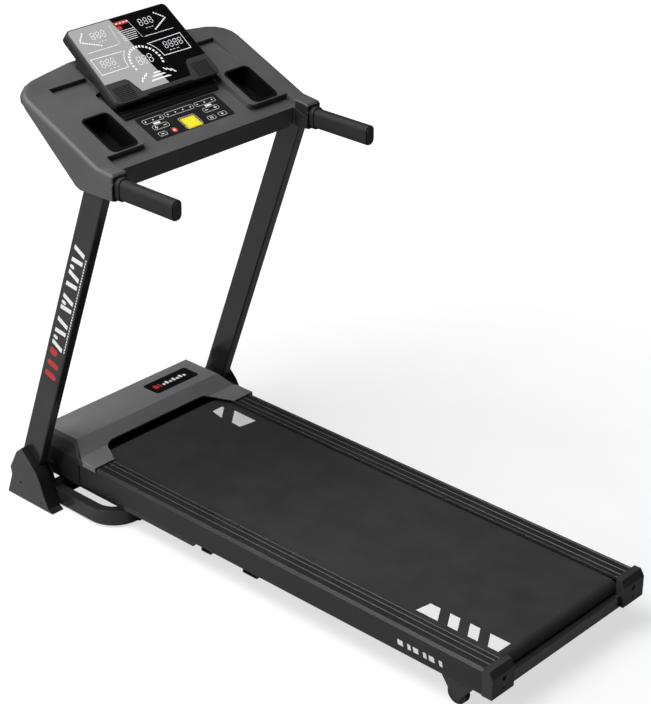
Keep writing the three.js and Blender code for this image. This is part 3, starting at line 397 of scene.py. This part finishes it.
def fibre_board():
    finish = Finish("fibre board", (0.24, 0.15, 0.08), 0.7)
    finish.grain(0.8, 0.08, (0.34, 0.23, 0.13), 0.6, 0.8)
    up = put(finish.tree, "SeparateXYZ", {0: put(finish.tree, "TexCoord").outputs["Normal"]})
    finish.tint(ramp(finish.tree, up.outputs["Z"], 0.5, 0.8), (0.018, 0.018, 0.018))
    return finish.done()


def zinc_steel():
    finish = Finish("zinc plated steel", (0.52, 0.52, 0.53), 0.32, metallic=1.0)
    finish.grain(1.4, 0.02, (0.40, 0.40, 0.42), 0.24, 0.42)
    finish.bump(shared(finish.tree, LINES, Across=2600.0, Along=40.0)["Streak"], 0.01)
    finish.wear_and_highlight((0.72, 0.72, 0.72), 0.5)
    return finish.done()


def black_steel():
    finish = Finish("blackened steel", (0.045, 0.045, 0.048), 0.33, metallic=1.0)
    finish.grain(1.0, 0.02, (0.09, 0.09, 0.095), 0.26, 0.42)
    finish.wear_and_highlight((0.34, 0.34, 0.35), 0.7, 0.0008)
    return finish.done()


def motor_paint():
    finish = Finish("motor paint", (0.035, 0.036, 0.038), 0.4)
    finish.grain(1.6, 0.06, (0.055, 0.056, 0.058), 0.34, 0.5)
    finish.wear_and_highlight((0.35, 0.35, 0.35), 0.7)
    finish.dust(0.15)
    return finish.done()


def display_glass():
    finish = Finish("display glass", (0.0012, 0.0012, 0.0014), 0.01, coat=1.0, ior=1.52)
    finish.shader.inputs["Coat Roughness"].default_value = 0.005
    out = shared(finish.tree, GRAIN, Size_mm=14.0)
    finish.roughen(out["Height"], 0.004, 0.014)
    finish.tint(ramp(finish.tree, out["Drift"], 0.3, 0.7), (0.002, 0.002, 0.0022))
    return finish.done()


def membrane():
    finish = Finish("keypad film", (0.007, 0.0065, 0.006), 0.6, ior=1.3)
    finish.grain(0.5, 0.015, (0.010, 0.0095, 0.009), 0.55, 0.68)
    finish.wear_and_highlight((0.03, 0.03, 0.03), 0.3)
    return finish.done()


def yellow_film():
    finish = Finish("yellow film", (0.86, 0.78, 0.01), 0.42)
    finish.grain(0.5, 0.012, (0.90, 0.83, 0.02), 0.38, 0.5)
    finish.wear_and_highlight((0.6, 0.5, 0.02), 0.4)
    return finish.done()


def circuit_board():
    finish = Finish("circuit board", (0.01, 0.09, 0.03), 0.35)
    finish.grain(1.5, 0.02, (0.015, 0.14, 0.05), 0.3, 0.45)
    tracks = shared(finish.tree, LINES, Across=420.0, Along=60.0)["Streak"]
    finish.tint(ramp(finish.tree, tracks, 0.52, 0.56), (0.05, 0.26, 0.10))
    return finish.done()


def printed_ink(name, colour, faded):
    finish = Finish(name, colour, 0.45)
    finish.grain(0.6, 0.01, faded, 0.4, 0.55)
    return finish.done()


def lit_segment():
    finish = Finish("lit segment", (0.75, 0.76, 0.78), 0.35)
    finish.grain(0.8, 0.008, (0.68, 0.70, 0.72), 0.3, 0.4)
    finish.shader.inputs["Emission Color"].default_value = (0.85, 0.88, 0.92, 1.0)
    finish.shader.inputs["Emission Strength"].default_value = 0.35
    return finish.done()


def studio_floor():
    """A pale sweep that looks brighter to the camera the further it is from the treadmill."""
    finish = Finish("studio floor", (0.35, 0.35, 0.35), 0.7)
    out = shared(finish.tree, GRAIN, Size_mm=40.0)
    finish.tint(ramp(finish.tree, out["Drift"], 0.3, 0.7), (0.37, 0.37, 0.37))
    away = put(finish.tree, "VectorMath", {0: place(finish.tree)}, operation="LENGTH")
    glow = ramp(finish.tree, away.outputs["Value"], 0.8, 3.0, FLOOR_GLOW, 1.0)
    seen = put(finish.tree, "LightPath").outputs["Is Camera Ray"]
    lit = calc(finish.tree, "MULTIPLY", glow, seen)
    finish.tree.links.new(lit, finish.shader.inputs["Emission Color"])
    finish.shader.inputs["Emission Strength"].default_value = 1.0
    return finish.done()


FINISHES = {
    "frame": powder_coat(),
    "shell": console_plastic_with_shade(),
    "hood": hood_painted_light_and_shade(),
    "rail": rail_extrusion(),
    "rubber": rubber(),
    "grip": grip_foam(),
    "belt": belt_cover(),
    "board": fibre_board(),
    "steel": zinc_steel(),
    "motor": motor_paint(),
    "glass": display_glass(),
    "membrane": membrane(),
    "yellow": yellow_film(),
    "circuit": circuit_board(),
    "black": plastic("satin black plastic", 0.007, 0.010, 0.50, size=0.5),
}
WHITE_INK = printed_ink("white ink", (0.93, 0.93, 0.92), (0.88, 0.88, 0.87))
RED_INK = printed_ink("red ink", (0.62, 0.03, 0.03), (0.52, 0.03, 0.03))
GREY_INK = printed_ink("grey ink", (0.34, 0.34, 0.34), (0.28, 0.28, 0.28))
LIT = lit_segment()
BLACK_STEEL = black_steel()
COVER_PLASTIC_SHADED = foot_cover_plastic_with_shade()
# A darker copy of the black plastic: painted shade inside the deep bottle pockets.
POCKET_PLASTIC_SHADED = plastic("pocket plastic with painted shade", 0.0025, 0.0035, 0.62, wear_and_highlight=0.2, dust=0.01, ior=1.2)
CAP_PLASTIC = plastic("end cap plastic", 0.034, 0.042, 0.44)
BEZEL_PLASTIC = plastic("bezel plastic", 0.028, 0.036, 0.50)


# ------------------------------------------------------------------ CAD nodes: finishes and soft edges

USUAL_EDGE = 0.8             # width of a rounded edge, in mm
SMOOTH_LIMIT = math.radians(31)
SPLIT_LIMIT = math.radians(33)
FLAT_LIMIT = math.radians(0.6)
WELD_GAP = 0.01 * MM

# Nodes whose edges aren't the usual width.
EDGES = {
    "console_top_shell": 0.0, "console_bottom_shell": 0.0, "running_belt": 0.3,
    "left_side_rail": 0.35, "right_side_rail": 0.35, "motor_hood": 1.2,
    "left_upright": 1.0, "right_upright": 1.0, "display_glass": 0.3,
    "keypad_membrane": 0.2, "safety_key_pad": 0.3, "drive_belt": 0.3, "display_board": 0.2,
    "left_rear_end_cap": 1.5, "right_rear_end_cap": 1.5, "display_pedestal": 1.5,
    "display_bezel": 0.0,
}
OWN_FINISH = {
    "left_foot_cover": COVER_PLASTIC_SHADED, "right_foot_cover": COVER_PLASTIC_SHADED,
    "left_rear_end_cap": CAP_PLASTIC, "right_rear_end_cap": CAP_PLASTIC,
    "display_bezel": BEZEL_PLASTIC,
    "left_bottle_tray": POCKET_PLASTIC_SHADED, "right_bottle_tray": POCKET_PLASTIC_SHADED,
}


def soften(node, width):
    """Rounds a node's edges with modifiers, so that its own points stay as they are."""
    for face in node.data.polygons:
        face.use_smooth = True
    weld = node.modifiers.new("weld", "WELD")
    weld.merge_threshold = WELD_GAP
    if width:
        flatten = node.modifiers.new("join flat faces", "DECIMATE")
        flatten.decimate_type = "DISSOLVE"
        flatten.angle_limit = FLAT_LIMIT
        edge = node.modifiers.new("rounded edges", "BEVEL")
        edge.limit_method = "ANGLE"
        edge.angle_limit = SMOOTH_LIMIT
        edge.width = width * MM
        edge.segments = 2
        edge.miter_outer = "MITER_ARC"
    split = node.modifiers.new("sharp edges", "EDGE_SPLIT")
    split.split_angle = SPLIT_LIMIT
    split.use_edge_sharp = False
    shade = node.modifiers.new("even shading", "WEIGHTED_NORMAL")
    shade.weight = 90


def dress_frame():
    slots = {part["node"]: part["material_slot"] for part in frame["record"]["subparts"]}
    for name, node in frame["nodes"].items():
        node.data.materials.clear()
        node.data.materials.append(OWN_FINISH.get(name, FINISHES[slots[name]]))
        soften(node, EDGES.get(name, USUAL_EDGE))


dress_frame()


# ------------------------------------------------------------------ tools for added pieces

def add_piece(name, mesh, material, body, edge=0.0):
    """Puts a mesh in the scene as a piece of the treadmill; edge is its rounding in mm."""
    mesh.materials.append(material)
    thing = bpy.data.objects.new(name, mesh)
    bpy.context.scene.collection.objects.link(thing)
    if edge:
        rounding = thing.modifiers.new("rounded edges", "BEVEL")
        rounding.limit_method = "ANGLE"
        rounding.angle_limit = SMOOTH_LIMIT
        rounding.width = edge * MM
        rounding.segments = 2
    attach(thing, body)
    return thing


def finish_mesh(bm, name, where):
    bmesh.ops.recalc_face_normals(bm, faces=bm.faces)
    bm.transform(where)
    mesh = bpy.data.meshes.new(name)
    bm.to_mesh(mesh)
    bm.free()
    return mesh


def raise_outline(bm, outline, low, high):
    """A closed plate on an outline in mm."""
    lower = [bm.verts.new((x * MM, y * MM, low * MM)) for x, y in outline]
    upper = [bm.verts.new((x * MM, y * MM, high * MM)) for x, y in outline]
    bm.faces.new(lower[::-1])
    bm.faces.new(upper)
    for i, corner in enumerate(lower):
        j = (i + 1) % len(lower)
        bm.faces.new((corner, lower[j], upper[j], upper[i]))


def raise_line(bm, path, width, closed, low, high):
    """A closed flat strip of even width along a path in mm."""
    points = [Vector(p) for p in path]
    count = len(points)
    rows = []
    for i, point in enumerate(points):
        before = points[i - 1] if closed or i > 0 else None
        after = points[(i + 1) % count] if closed or i < count - 1 else None
        along = [(point - before).normalized()] if before else []
        along += [(after - point).normalized()] if after else []
        mean = sum(along, Vector((0, 0))).normalized()
        side = Vector((-mean.y, mean.x)) * width / 2 / max(0.5, mean.dot(along[0]))
        rows.append([bm.verts.new((p.x * MM, p.y * MM, z * MM))
                     for p in (point + side, point - side) for z in (low, high)])
    for i in range(count if closed else count - 1):
        a, b = rows[i], rows[(i + 1) % count]
        for one, two in ((0, 1), (1, 3), (3, 2), (2, 0)):
            bm.faces.new((a[one], a[two], b[two], b[one]))
    if not closed:
        for row in (rows[0], rows[-1]):
            bm.faces.new((row[0], row[1], row[3], row[2]))


def printed(name, plates, lines, low, high, where, material, body):
    """A printed layer: plates are outlines, lines are (path, width, closed)."""
    bm = bmesh.new()
    for outline in plates:
        raise_outline(bm, outline, low, high)
    for path, width, closed in lines:
        raise_line(bm, path, width, closed, low, high)
    return add_piece(name, finish_mesh(bm, name, where), material, body)


def turned(name, profile, where, material, body, steps=28):
    """A lathe-turned piece; the profile is (radius, height) in mm and starts and ends on the axis."""
    bm = bmesh.new()
    rings = []
    for radius, height in profile:
        if radius == 0:
            rings.append([bm.verts.new((0, 0, height * MM))])
            continue
        angles = [2 * math.pi * i / steps for i in range(steps)]
        rings.append([bm.verts.new((radius * MM * math.cos(a), radius * MM * math.sin(a), height * MM))
                      for a in angles])
    for one, two in zip(rings, rings[1:]):
        for i in range(steps):
            j = (i + 1) % steps
            loop = [one[i % len(one)], one[j % len(one)], two[j % len(two)], two[i % len(two)]]
            face = bm.faces.new(list(dict.fromkeys(loop)))
            face.smooth = True
    mesh = finish_mesh(bm, name, where)
    mesh.set_sharp_from_angle(angle=SMOOTH_LIMIT)
    return add_piece(name, mesh, material, body)


def rounded(x0, y0, x1, y1, radius, steps=4):
    """Corner points of a rectangle with round corners, in order."""
    points = []
    corners = ((x1 - radius, y0 + radius, -90), (x1 - radius, y1 - radius, 0),
               (x0 + radius, y1 - radius, 90), (x0 + radius, y0 + radius, 180))
    for x, y, start in corners:
        for i in range(steps + 1):
            angle = math.radians(start + 90 * i / steps)
            points.append((x + radius * math.cos(angle), y + radius * math.sin(angle)))
    return points


def arc(x, y, radius, first, last, steps):
    angles = [math.radians(first + (last - first) * i / steps) for i in range(steps + 1)]
    return [(x + radius * math.cos(a), y + radius * math.sin(a)) for a in angles]


def dashes(path, dash, gap, width):
    """Short bars along a path, as plate outlines."""
    bars = []
    for start, end in zip(path, path[1:]):
        start, end = Vector(start), Vector(end)
        along = (end - start).normalized()
        side = Vector((-along.y, along.x)) * width / 2
        for i in range(int((end - start).length // (dash + gap))):
            a = start + along * (dash + gap) * i
            b = a + along * dash
            bars.append([tuple(p) for p in (a + side, a - side, b - side, b + side)])
    return bars


def digit(x, y, width, height, slant=0.14):
    """The seven bars of a figure eight, as lines."""
    half, mid = width / 2, height / 2
    gap = 0.12 * width
    flat = [((-half + gap, level), (half - gap, level)) for level in (-mid, 0, mid)]
    stand = [((side, low + gap), (side, low + mid - gap))
             for side in (-half, half) for low in (-mid, 0)]
    return [([(x + a + slant * b, y + b) for a, b in bar], 0.15 * width, False)
            for bar in flat + stand]


def digits(count, x, y, pitch, width, height):
    lines = []
    for i in range(count):
        lines += digit(x + (i - (count - 1) / 2) * pitch, y, width, height)
    return lines


def facing(where, normal, turn=0.0):
    """Stands a piece drawn flat at a place in metres, with its top towards the normal."""
    rotation = Vector(normal).to_track_quat("Z", "Y").to_matrix().to_4x4()
    return Matrix.Translation(where) @ rotation @ Matrix.Rotation(turn, 4, "Z")


# ------------------------------------------------------------------ belt, rails and hood

SIDES = (("left", -1), ("right", 1))


def print_belt():
    """Four slanted bars near the belt's rear end, the outer two drawn out, and two at its front."""
    where = Matrix.Translation((0, 0, BELT_HIGH.z))
    inner, outer = 148, 190
    long, slant, pitch = 28, 26, 55.5
    first = BELT_LOW.y / MM + 249
    bars = []
    for i in range(4):
        y = first - pitch * i
        bars.append([(-inner, y), (-inner, y - long), (-outer, y - slant - long), (-outer, y - slant)])
    bars[0][3] = (-outer, first + 7)
    bars[3][1] = (-inner, first - 3 * pitch - 55)
    printed("belt_bars_rear", bars, [], LIFT, PRINT, where, WHITE_INK, "deck")
    front = BELT_HIGH.y / MM - 57
    wedges = [[(178, front), (143, front), (134, front - 42), (178, front - 7)],
              [(185, front - 38), (183, front - 116), (132, front - 109), (135, front - 78)]]
    printed("belt_bars_front", wedges, [], LIFT, PRINT, where, WHITE_INK, "deck")


def print_rails():
    """A row of plain slanted bars on each rail's outer side."""
    start, step, half, slant = -604, 22, 6.5, 3
    middle = 87.5 * MM
    for side, sign in SIDES:
        bars = []
        for i in range(6):
            y = start + i * step
            end = y + (15 if i % 2 else 9)
            bars.append([(y, -half), (end, -half), (end + slant, half), (y + slant, half)])
        where = Matrix(((0, 0, sign, sign * RAIL_SIDE), (1, 0, 0, 0), (0, 1, 0, middle), (0, 0, 0, 1)))
        printed(f"{side}_rail_bars", bars, [], LIFT, PRINT, where, WHITE_INK, "deck")


def print_uprights():
    """Red and white bars up the outer face of each upright."""
    up = Vector((0, -math.sin(POST_LEAN), math.cos(POST_LEAN)))
    back = Vector((0, -math.cos(POST_LEAN), -math.sin(POST_LEAN)))
    middle_y = POST_FRONT - POST_HALF_DEPTH - math.tan(POST_LEAN) * (MARKS_FOOT - RAIL_TOP)
    for side, sign in SIDES:
        middle = Vector((sign * POST_SIDE, middle_y, MARKS_FOOT))
        columns = (back, up, Vector((sign, 0, 0)), middle)
        where = Matrix([[c[i] for c in columns] for i in range(3)] + [[0, 0, 0, 1]])
        red = [rounded(-19, 8 + 34 * i, 19, 24 + 34 * i, 7) for i in range(2)]
        red.append(rounded(-19, 76, 6, 95, 7))
        white = []
        for i in range(9):
            low = 108 + 36 * i
            lean = 7 if i % 2 else -7
            white.append([(-18, low), (-18, low + 12), (18, low + 12 + lean), (18, low + lean)])
            if i % 3 == 0:
                white.append(rounded(-18, low + 17, -4, low + 27, 4))
        fine = dashes([(25.5, 106), (25.5, 400)], 5.5, 3.0, 3.2)
        printed(f"{side}_upright_red_bars", red, [], LIFT, PRINT, where, RED_INK, "base")
        printed(f"{side}_upright_white_bars", white + fine, [], LIFT, PRINT, where, WHITE_INK,
                "base")


def badge_hood():
    """A dark plate with plain marks, let into the top of the hood."""
    where = Matrix.Translation((0.1315, 0.648, HOOD_TOP))
    top = 1.0
    low, high = top + LIFT, top + LIFT + PRINT
    bm = bmesh.new()
    raise_outline(bm, rounded(-75, -29, 75, 29, 9), 2 * LIFT, top)
    mesh = finish_mesh(bm, "hood_badge", where)
    add_piece("hood_badge", mesh, FINISHES["glass"], "deck", 0.4)
    red = [rounded(-60, -9, -46, 9, 5), rounded(-42, -9, -37, 9, 2)]
    white = [rounded(-31 + 12 * i, -7, -23 + 12 * i, 7 if i % 2 else 2, 2) for i in range(7)]
    printed("hood_badge_red", red, [], low, high, where, RED_INK, "deck")
    printed("hood_badge_white", white, [], low, high, where, WHITE_INK, "deck")


# ------------------------------------------------------------------ display and keys

PRINT_CENTRE = -6            # the printed picture's middle, left of the display's, in mm


def print_display():
    """The picture behind the glass: gauge, figures, frames and arrows, as a thin lit layer."""
    c = PRINT_CENTRE
    lit, grey, red = [], [], []
    plates, faint = [], []
    for side in (-1, 1):
        arrow = [(c + side * 112, 208), (c + side * 135, 186), (c + side * 82, 161)]
        plates += dashes(arrow, 4.2, 1.6, 3.6)
        lit += digits(3, c + side * 75, 192, 16, 9.5, 18)
        lit.append(([(c + side * 42, 152), (c + side * 135, 152)], 1.3, False))
        faint += dashes([(c + side * 62, 173), (c + side * 92, 173)], 6, 3, 1.2)
        count = 3 if side < 0 else 4
        lit += digits(count, c + side * 103, 114, 15.5, 9.5, 18)
        faint += dashes([(c + side * 80, 97), (c + side * 118, 97)], 7, 4, 1.2)
        curve = [(c - 2 + side * 57 * math.cos(a), 88 + 57 * math.sin(a))
                 for a in (0.87, 0.65, 0.43, 0.22, 0.0)]
        frame_path = [(c + side * 141, 134), *curve, (c + side * 141, 87)]
        grey.append((frame_path, 1.8, True))
        plates += [[(c + side * (25 + 9 * i), 58 - 4 * i), (c + side * (27 + 9 * i), 59 - 4 * i),
                    (c + side * (35 + 10 * i), 51 - 6 * i), (c + side * (31 + 10 * i), 49 - 6 * i)]
                   for i in range(3)]
        grey.append(([(c + side * 28, 210), (c + side * 36, 152)], 0.9, False))
    lit += digits(3, c - 3, 94, 17, 11, 22)
    for i in range(19):
        angle = math.radians(196 - 11.9 * i)
        near, far = 41, 47
        spread = 0.062
        plates.append([(c - 2 + r * math.cos(angle + t), 88 + r * math.sin(angle + t))
                       for r, t in ((near, -spread), (far, -spread), (far, spread), (near, spread))])
    plates += [[(c + 2 - low, y), (c + 2 + low, y), (c + 2 + high, y + 4), (c + 2 - high, y + 4)]
               for y, low, high in ((32, 33, 25), (42, 22, 16), (50, 13, 8))]
    plates += [rounded(c - 18, 183 - 5.6 * i, c + 34 - 2 * i, 184.4 - 5.6 * i, 0.5, 1)
               for i in range(6)]
    red += [rounded(c - 16, 201, c + 30, 211, 3), rounded(c - 12, 187.5, c + 1, 198, 5)]
    ticks = [rounded(c - 10 + 11 * i, 204.5, c - 3 + 11 * i, 207.5, 1, 2) for i in range(4)]
    printed("display_figures", plates, lit, LIFT, PRINT, DISPLAY, LIT, "base")
    printed("display_frames", faint, grey, LIFT, PRINT, DISPLAY, LIT, "base")
    printed("display_red_marks", red, [], LIFT, PRINT, DISPLAY, RED_INK, "base")
    printed("display_red_mark_ticks", ticks, [], PRINT + LIFT, 2 * PRINT, DISPLAY, WHITE_INK, "base")


def key_places():
    """Centres of the round key spots, in mm on the keypad."""
    left = [(x, 5) for x in (-107, -84, -61)]
    middle = [(x, 5) for x in (-37, -13, 11, 35)]
    right = [(x, 5) for x in (58, 81, 105)]
    return left + middle + right


def print_keypad():
    low = KEYPAD_TOP + LIFT
    high = KEYPAD_TOP + PRINT
    pills = [rounded(-115, -2, -53, 12, 5), rounded(-46, -2, 44, 12, 5), rounded(51, -2, 114, 12, 5)]
    pills += [rounded(side - 24, -27, side + 24, -13, 5) for side in (-81, 80)]
    keys = [rounded(x - 12, y - 6, x + 12, y + 6, 4) for x, y in ((-95, -43), (95, -45), (59, -46))]
    lines = [(outline, 0.9, True) for outline in pills + keys]
    lines.append((rounded(-26, -54.5, 26, -16.5, 5), 0.8, True))
    spots = [arc(x, y, 2.2, 0, 330, 11) for x, y in key_places()]
    labels = [rounded(side - 10, -10.5, side + 10, -4.5, 1.5) for side in (-83, 82)]
    marks = [rounded(x - 5, -20.9, x + 5, -19.1, 0.6) for x in (-67, -95, 66, 94)]
    marks += [rounded(x - 0.9, -24.5, x + 0.9, -21, 0.4) for x in (-95, 94)]
    marks += [rounded(x - 0.9, -19, x + 0.9, -15.5, 0.4) for x in (-95, 94)]
    marks += [rounded(-100, -44, -90, -42, 0.6), [(92, -48), (99, -45), (92, -42)],
              rounded(55, -49, 57.5, -43, 0.5), rounded(60.5, -49, 63, -43, 0.5)]
    printed("keypad_outlines", [], lines, low, high, CONSOLE, WHITE_INK, "base")
    printed("keypad_marks", spots + labels + marks, [], low, high, CONSOLE, WHITE_INK, "base")
    stop = arc(-59, -44, 8.5, 200, 520, 14)
    printed("keypad_stop_key", [stop], [], low, high, CONSOLE, RED_INK, "base")
    printed("keypad_stop_mark", [rounded(-62, -47, -56, -41, 0.6)], [], high + LIFT, high + PRINT,
            CONSOLE, WHITE_INK, "base")


def print_safety_pad():
    low, high = SAFETY_TOP + LIFT, SAFETY_TOP + PRINT
    edge = rounded(-20.5, -55.5, 20.5, -21.5, 4)
    printed("safety_pad_red_line", [], [(edge, 0.9, True)], low, high, CONSOLE, RED_INK, "base")
    ring = [(-16.5, -51.5), (16.5, -51.5), (16.5, -25.5), (-16.5, -25.5), (-16.5, -51.5)]
    printed("safety_pad_dashes", dashes(ring, 2.4, 1.6, 0.8), [], low, high, CONSOLE, GREY_INK,
            "base")


# ------------------------------------------------------------------ fasteners and small hardware

def socket_screw(name, where, normal, radius, height, body, material=None):
    socket = 0.45 * radius
    profile = [(0, 0.4 * height), (socket, 0.4 * height), (socket, 0.96 * height),
               (0.75 * radius, height), (radius, 0.7 * height), (radius, 0), (0, 0)]
    turned(name, profile, facing(where, normal), material or BLACK_STEEL, body)


def fit_foot_screws():
    for side, sign in SIDES:
        out = sign * COVER_SIDE
        for label, y, z in (("upper", 0.686, 0.047), ("lower", 0.6085, 0.018)):
            where = (out - sign * 2.4 * MM, y, z)
            socket_screw(f"{side}_foot_{label}_screw", where, (sign, 0, 0), 4.0, 1.6, "base",
                         FINISHES["black"])


def fit_cap_bolts():
    for side, sign in SIDES:
        x = sign * 0.234
        for label, z, radius, deep in (("upper", 0.102, 5.8, 6.0), ("lower", 0.078, 2.7, 5.0)):
            where = (x, CAP_REAR + deep * MM, z)
            socket_screw(f"{side}_end_cap_{label}_bolt", where, (0, -1, 0), radius, 4.0, "deck")


def fit_wheel_caps():
    """A dished cap on the outer face of each wheel, on the wheel's own body."""
    for side, sign in SIDES:
        for kind in ("rear", "transport"):
            low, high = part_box(f"{side}_{kind}_wheel")
            centre = (low + high) / 2
            centre.x = high.x if sign > 0 else low.x
            size = (high.z - low.z) / 2 / MM
            profile = [(0, 0.25), (0.34 * size, 0.2), (0.40 * size, 0.6), (0.72 * size, 0.6),
                       (0.76 * size, 0.1), (0.76 * size, 0.01), (0, 0.01)]
            name = f"{side}_{kind}_wheel_cap"
            turned(name, profile, facing(centre, (sign, 0, 0)), FINISHES["black"],
                   f"{side}_{kind}_wheel")


def fit_grip_plugs():
    for side, sign in SIDES:
        low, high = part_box(f"{side}_handlebar_grip")
        centre = (low + high) / 2
        sleeve = (high.z - low.z) / MM - 6
        where = Matrix(((sign, 0, 0, sign * 0.313), (0, 0, -1, low.y), (0, 1, 0, centre.z), (0, 0, 0, 1)))
        half_width, half_height = 11.5, sleeve / 2 - 3.5
        outline = rounded(-half_width, -half_height, half_width, half_height, 9.5, 6)
        bm = bmesh.new()
        raise_outline(bm, outline, 2 * LIFT, 1.2)
        mesh = finish_mesh(bm, "plug", where)
        add_piece(f"{side}_grip_end_plug", mesh, CAP_PLASTIC, "base", 0.5)


def fit_speakers():
    """A paper cone behind the slots of each lower corner of the display."""
    for side, sign in SIDES:
        profile = [(0, -9.0), (6, -8.2), (7, -9.4), (16, -5.6), (17.5, -4.8), (19.3, -5.2),
                   (19.3, -11.5), (0, -11.5)]
        where = DISPLAY @ Matrix.Translation((sign * 0.123, 0.025, 0))
        turned(f"{side}_speaker_cone", profile, where, FINISHES["black"], "base")


print_belt()
print_rails()
print_uprights()
badge_hood()
print_display()
print_keypad()
print_safety_pad()
fit_foot_screws()
fit_cap_bolts()
fit_wheel_caps()
fit_grip_plugs()
fit_speakers()


# ------------------------------------------------------------------ studio

def make_camera():
    azimuth = math.radians(-47.61)
    height = math.radians(26.74)
    roll = math.radians(0.60)
    back = Vector((math.sin(azimuth) * math.cos(height), -math.cos(azimuth) * math.cos(height),
                   math.sin(height)))
    right = Vector((0, 0, 1)).cross(back).normalized()
    up = back.cross(right)
    level = right * math.cos(roll) + up * math.sin(roll)
    above = up * math.cos(roll) - right * math.sin(roll)
    data = bpy.data.cameras.new("camera")
    data.lens = 104.69
    data.sensor_width = 36.0
    data.shift_x = 0.0126
    data.shift_y = -0.0075
    data.clip_end = 100.0
    camera = bpy.data.objects.new("camera", data)
    spot = (-3.0976, -2.8118, 2.6420)
    axes = Matrix((level, above, back)).transposed().to_4x4()
    camera.matrix_world = Matrix.Translation(spot) @ axes
    bpy.context.scene.collection.objects.link(camera)
    bpy.context.scene.camera = camera


def make_floor():
    mesh = bpy.data.meshes.new("floor")
    reach = 40.0
    mesh.from_pydata([(-reach, -reach, 0), (reach, -reach, 0), (reach, reach, 0), (-reach, reach, 0)],
                     [], [(0, 1, 2, 3)])
    mesh.materials.append(studio_floor())
    floor = bpy.data.objects.new("floor", mesh)
    floor.location.z = -0.0005
    bpy.context.scene.collection.objects.link(floor)


def soft_light(name, where, target, size, power):
    data = bpy.data.lights.new(name, "AREA")
    data.shape = "RECTANGLE"
    data.size, data.size_y = size
    data.energy = power
    light = bpy.data.objects.new(name, data)
    light.location = where
    light.rotation_euler = (Vector(target) - Vector(where)).to_track_quat("-Z", "Y").to_euler()
    bpy.context.scene.collection.objects.link(light)
    return light


def light_studio():
    """A white backdrop that only the camera sees, and a dim room for everything else."""
    world = bpy.data.worlds.new("studio")
    world.use_nodes = True
    tree = world.node_tree
    seen = put(tree, "LightPath").outputs["Is Camera Ray"]
    background = tree.nodes["Background"]
    background.inputs["Color"].default_value = (1.0, 1.0, 1.0, 1.0)
    tree.links.new(ramp(tree, seen, 0.0, 1.0, 0.03, 1.0), background.inputs["Strength"])
    bpy.context.scene.world = world
    soft_light("overhead light", (-1.4, 0.9, 4.0), (0, 0.1, 0.4), (3.0, 3.0), 190)
    soft_light("left light", (-4.2, 1.6, 1.9), (0, 0, 0.4), (2.4, 2.2), 78)


def glass_card():
    """A bright card, placed so that the main camera sees it mirrored in the display's left half."""
    normal = (DISPLAY.to_3x3() @ Vector((0, 0, 1))).normalized()
    eye = bpy.context.scene.camera.location
    away = 1.2
    corners = []
    for x, y in ((-24, 232), (10, 0), (-190, 0), (-190, 232)):
        spot = DISPLAY @ Vector((x * MM, y * MM, 0))
        view = (spot - eye).normalized()
        mirrored = view - 2 * view.dot(normal) * normal
        corners.append(spot + mirrored * away)
    mesh = bpy.data.meshes.new("glass card")
    mesh.from_pydata(corners, [], [(0, 1, 2, 3)])
    glow = Finish("card light", (0.0, 0.0, 0.0), 1.0)
    glow.shader.inputs["Emission Color"].default_value = (1.0, 1.0, 1.0, 1.0)
    glow.shader.inputs["Emission Strength"].default_value = 4.0
    mesh.materials.append(glow.done())
    card = bpy.data.objects.new("glass card", mesh)
    bpy.context.scene.collection.objects.link(card)
    card.visible_camera = False
    card.visible_diffuse = False
    card.visible_shadow = False


make_camera()
make_floor()
light_studio()
glass_card()
bpy.context.scene.view_settings.view_transform = "Standard"
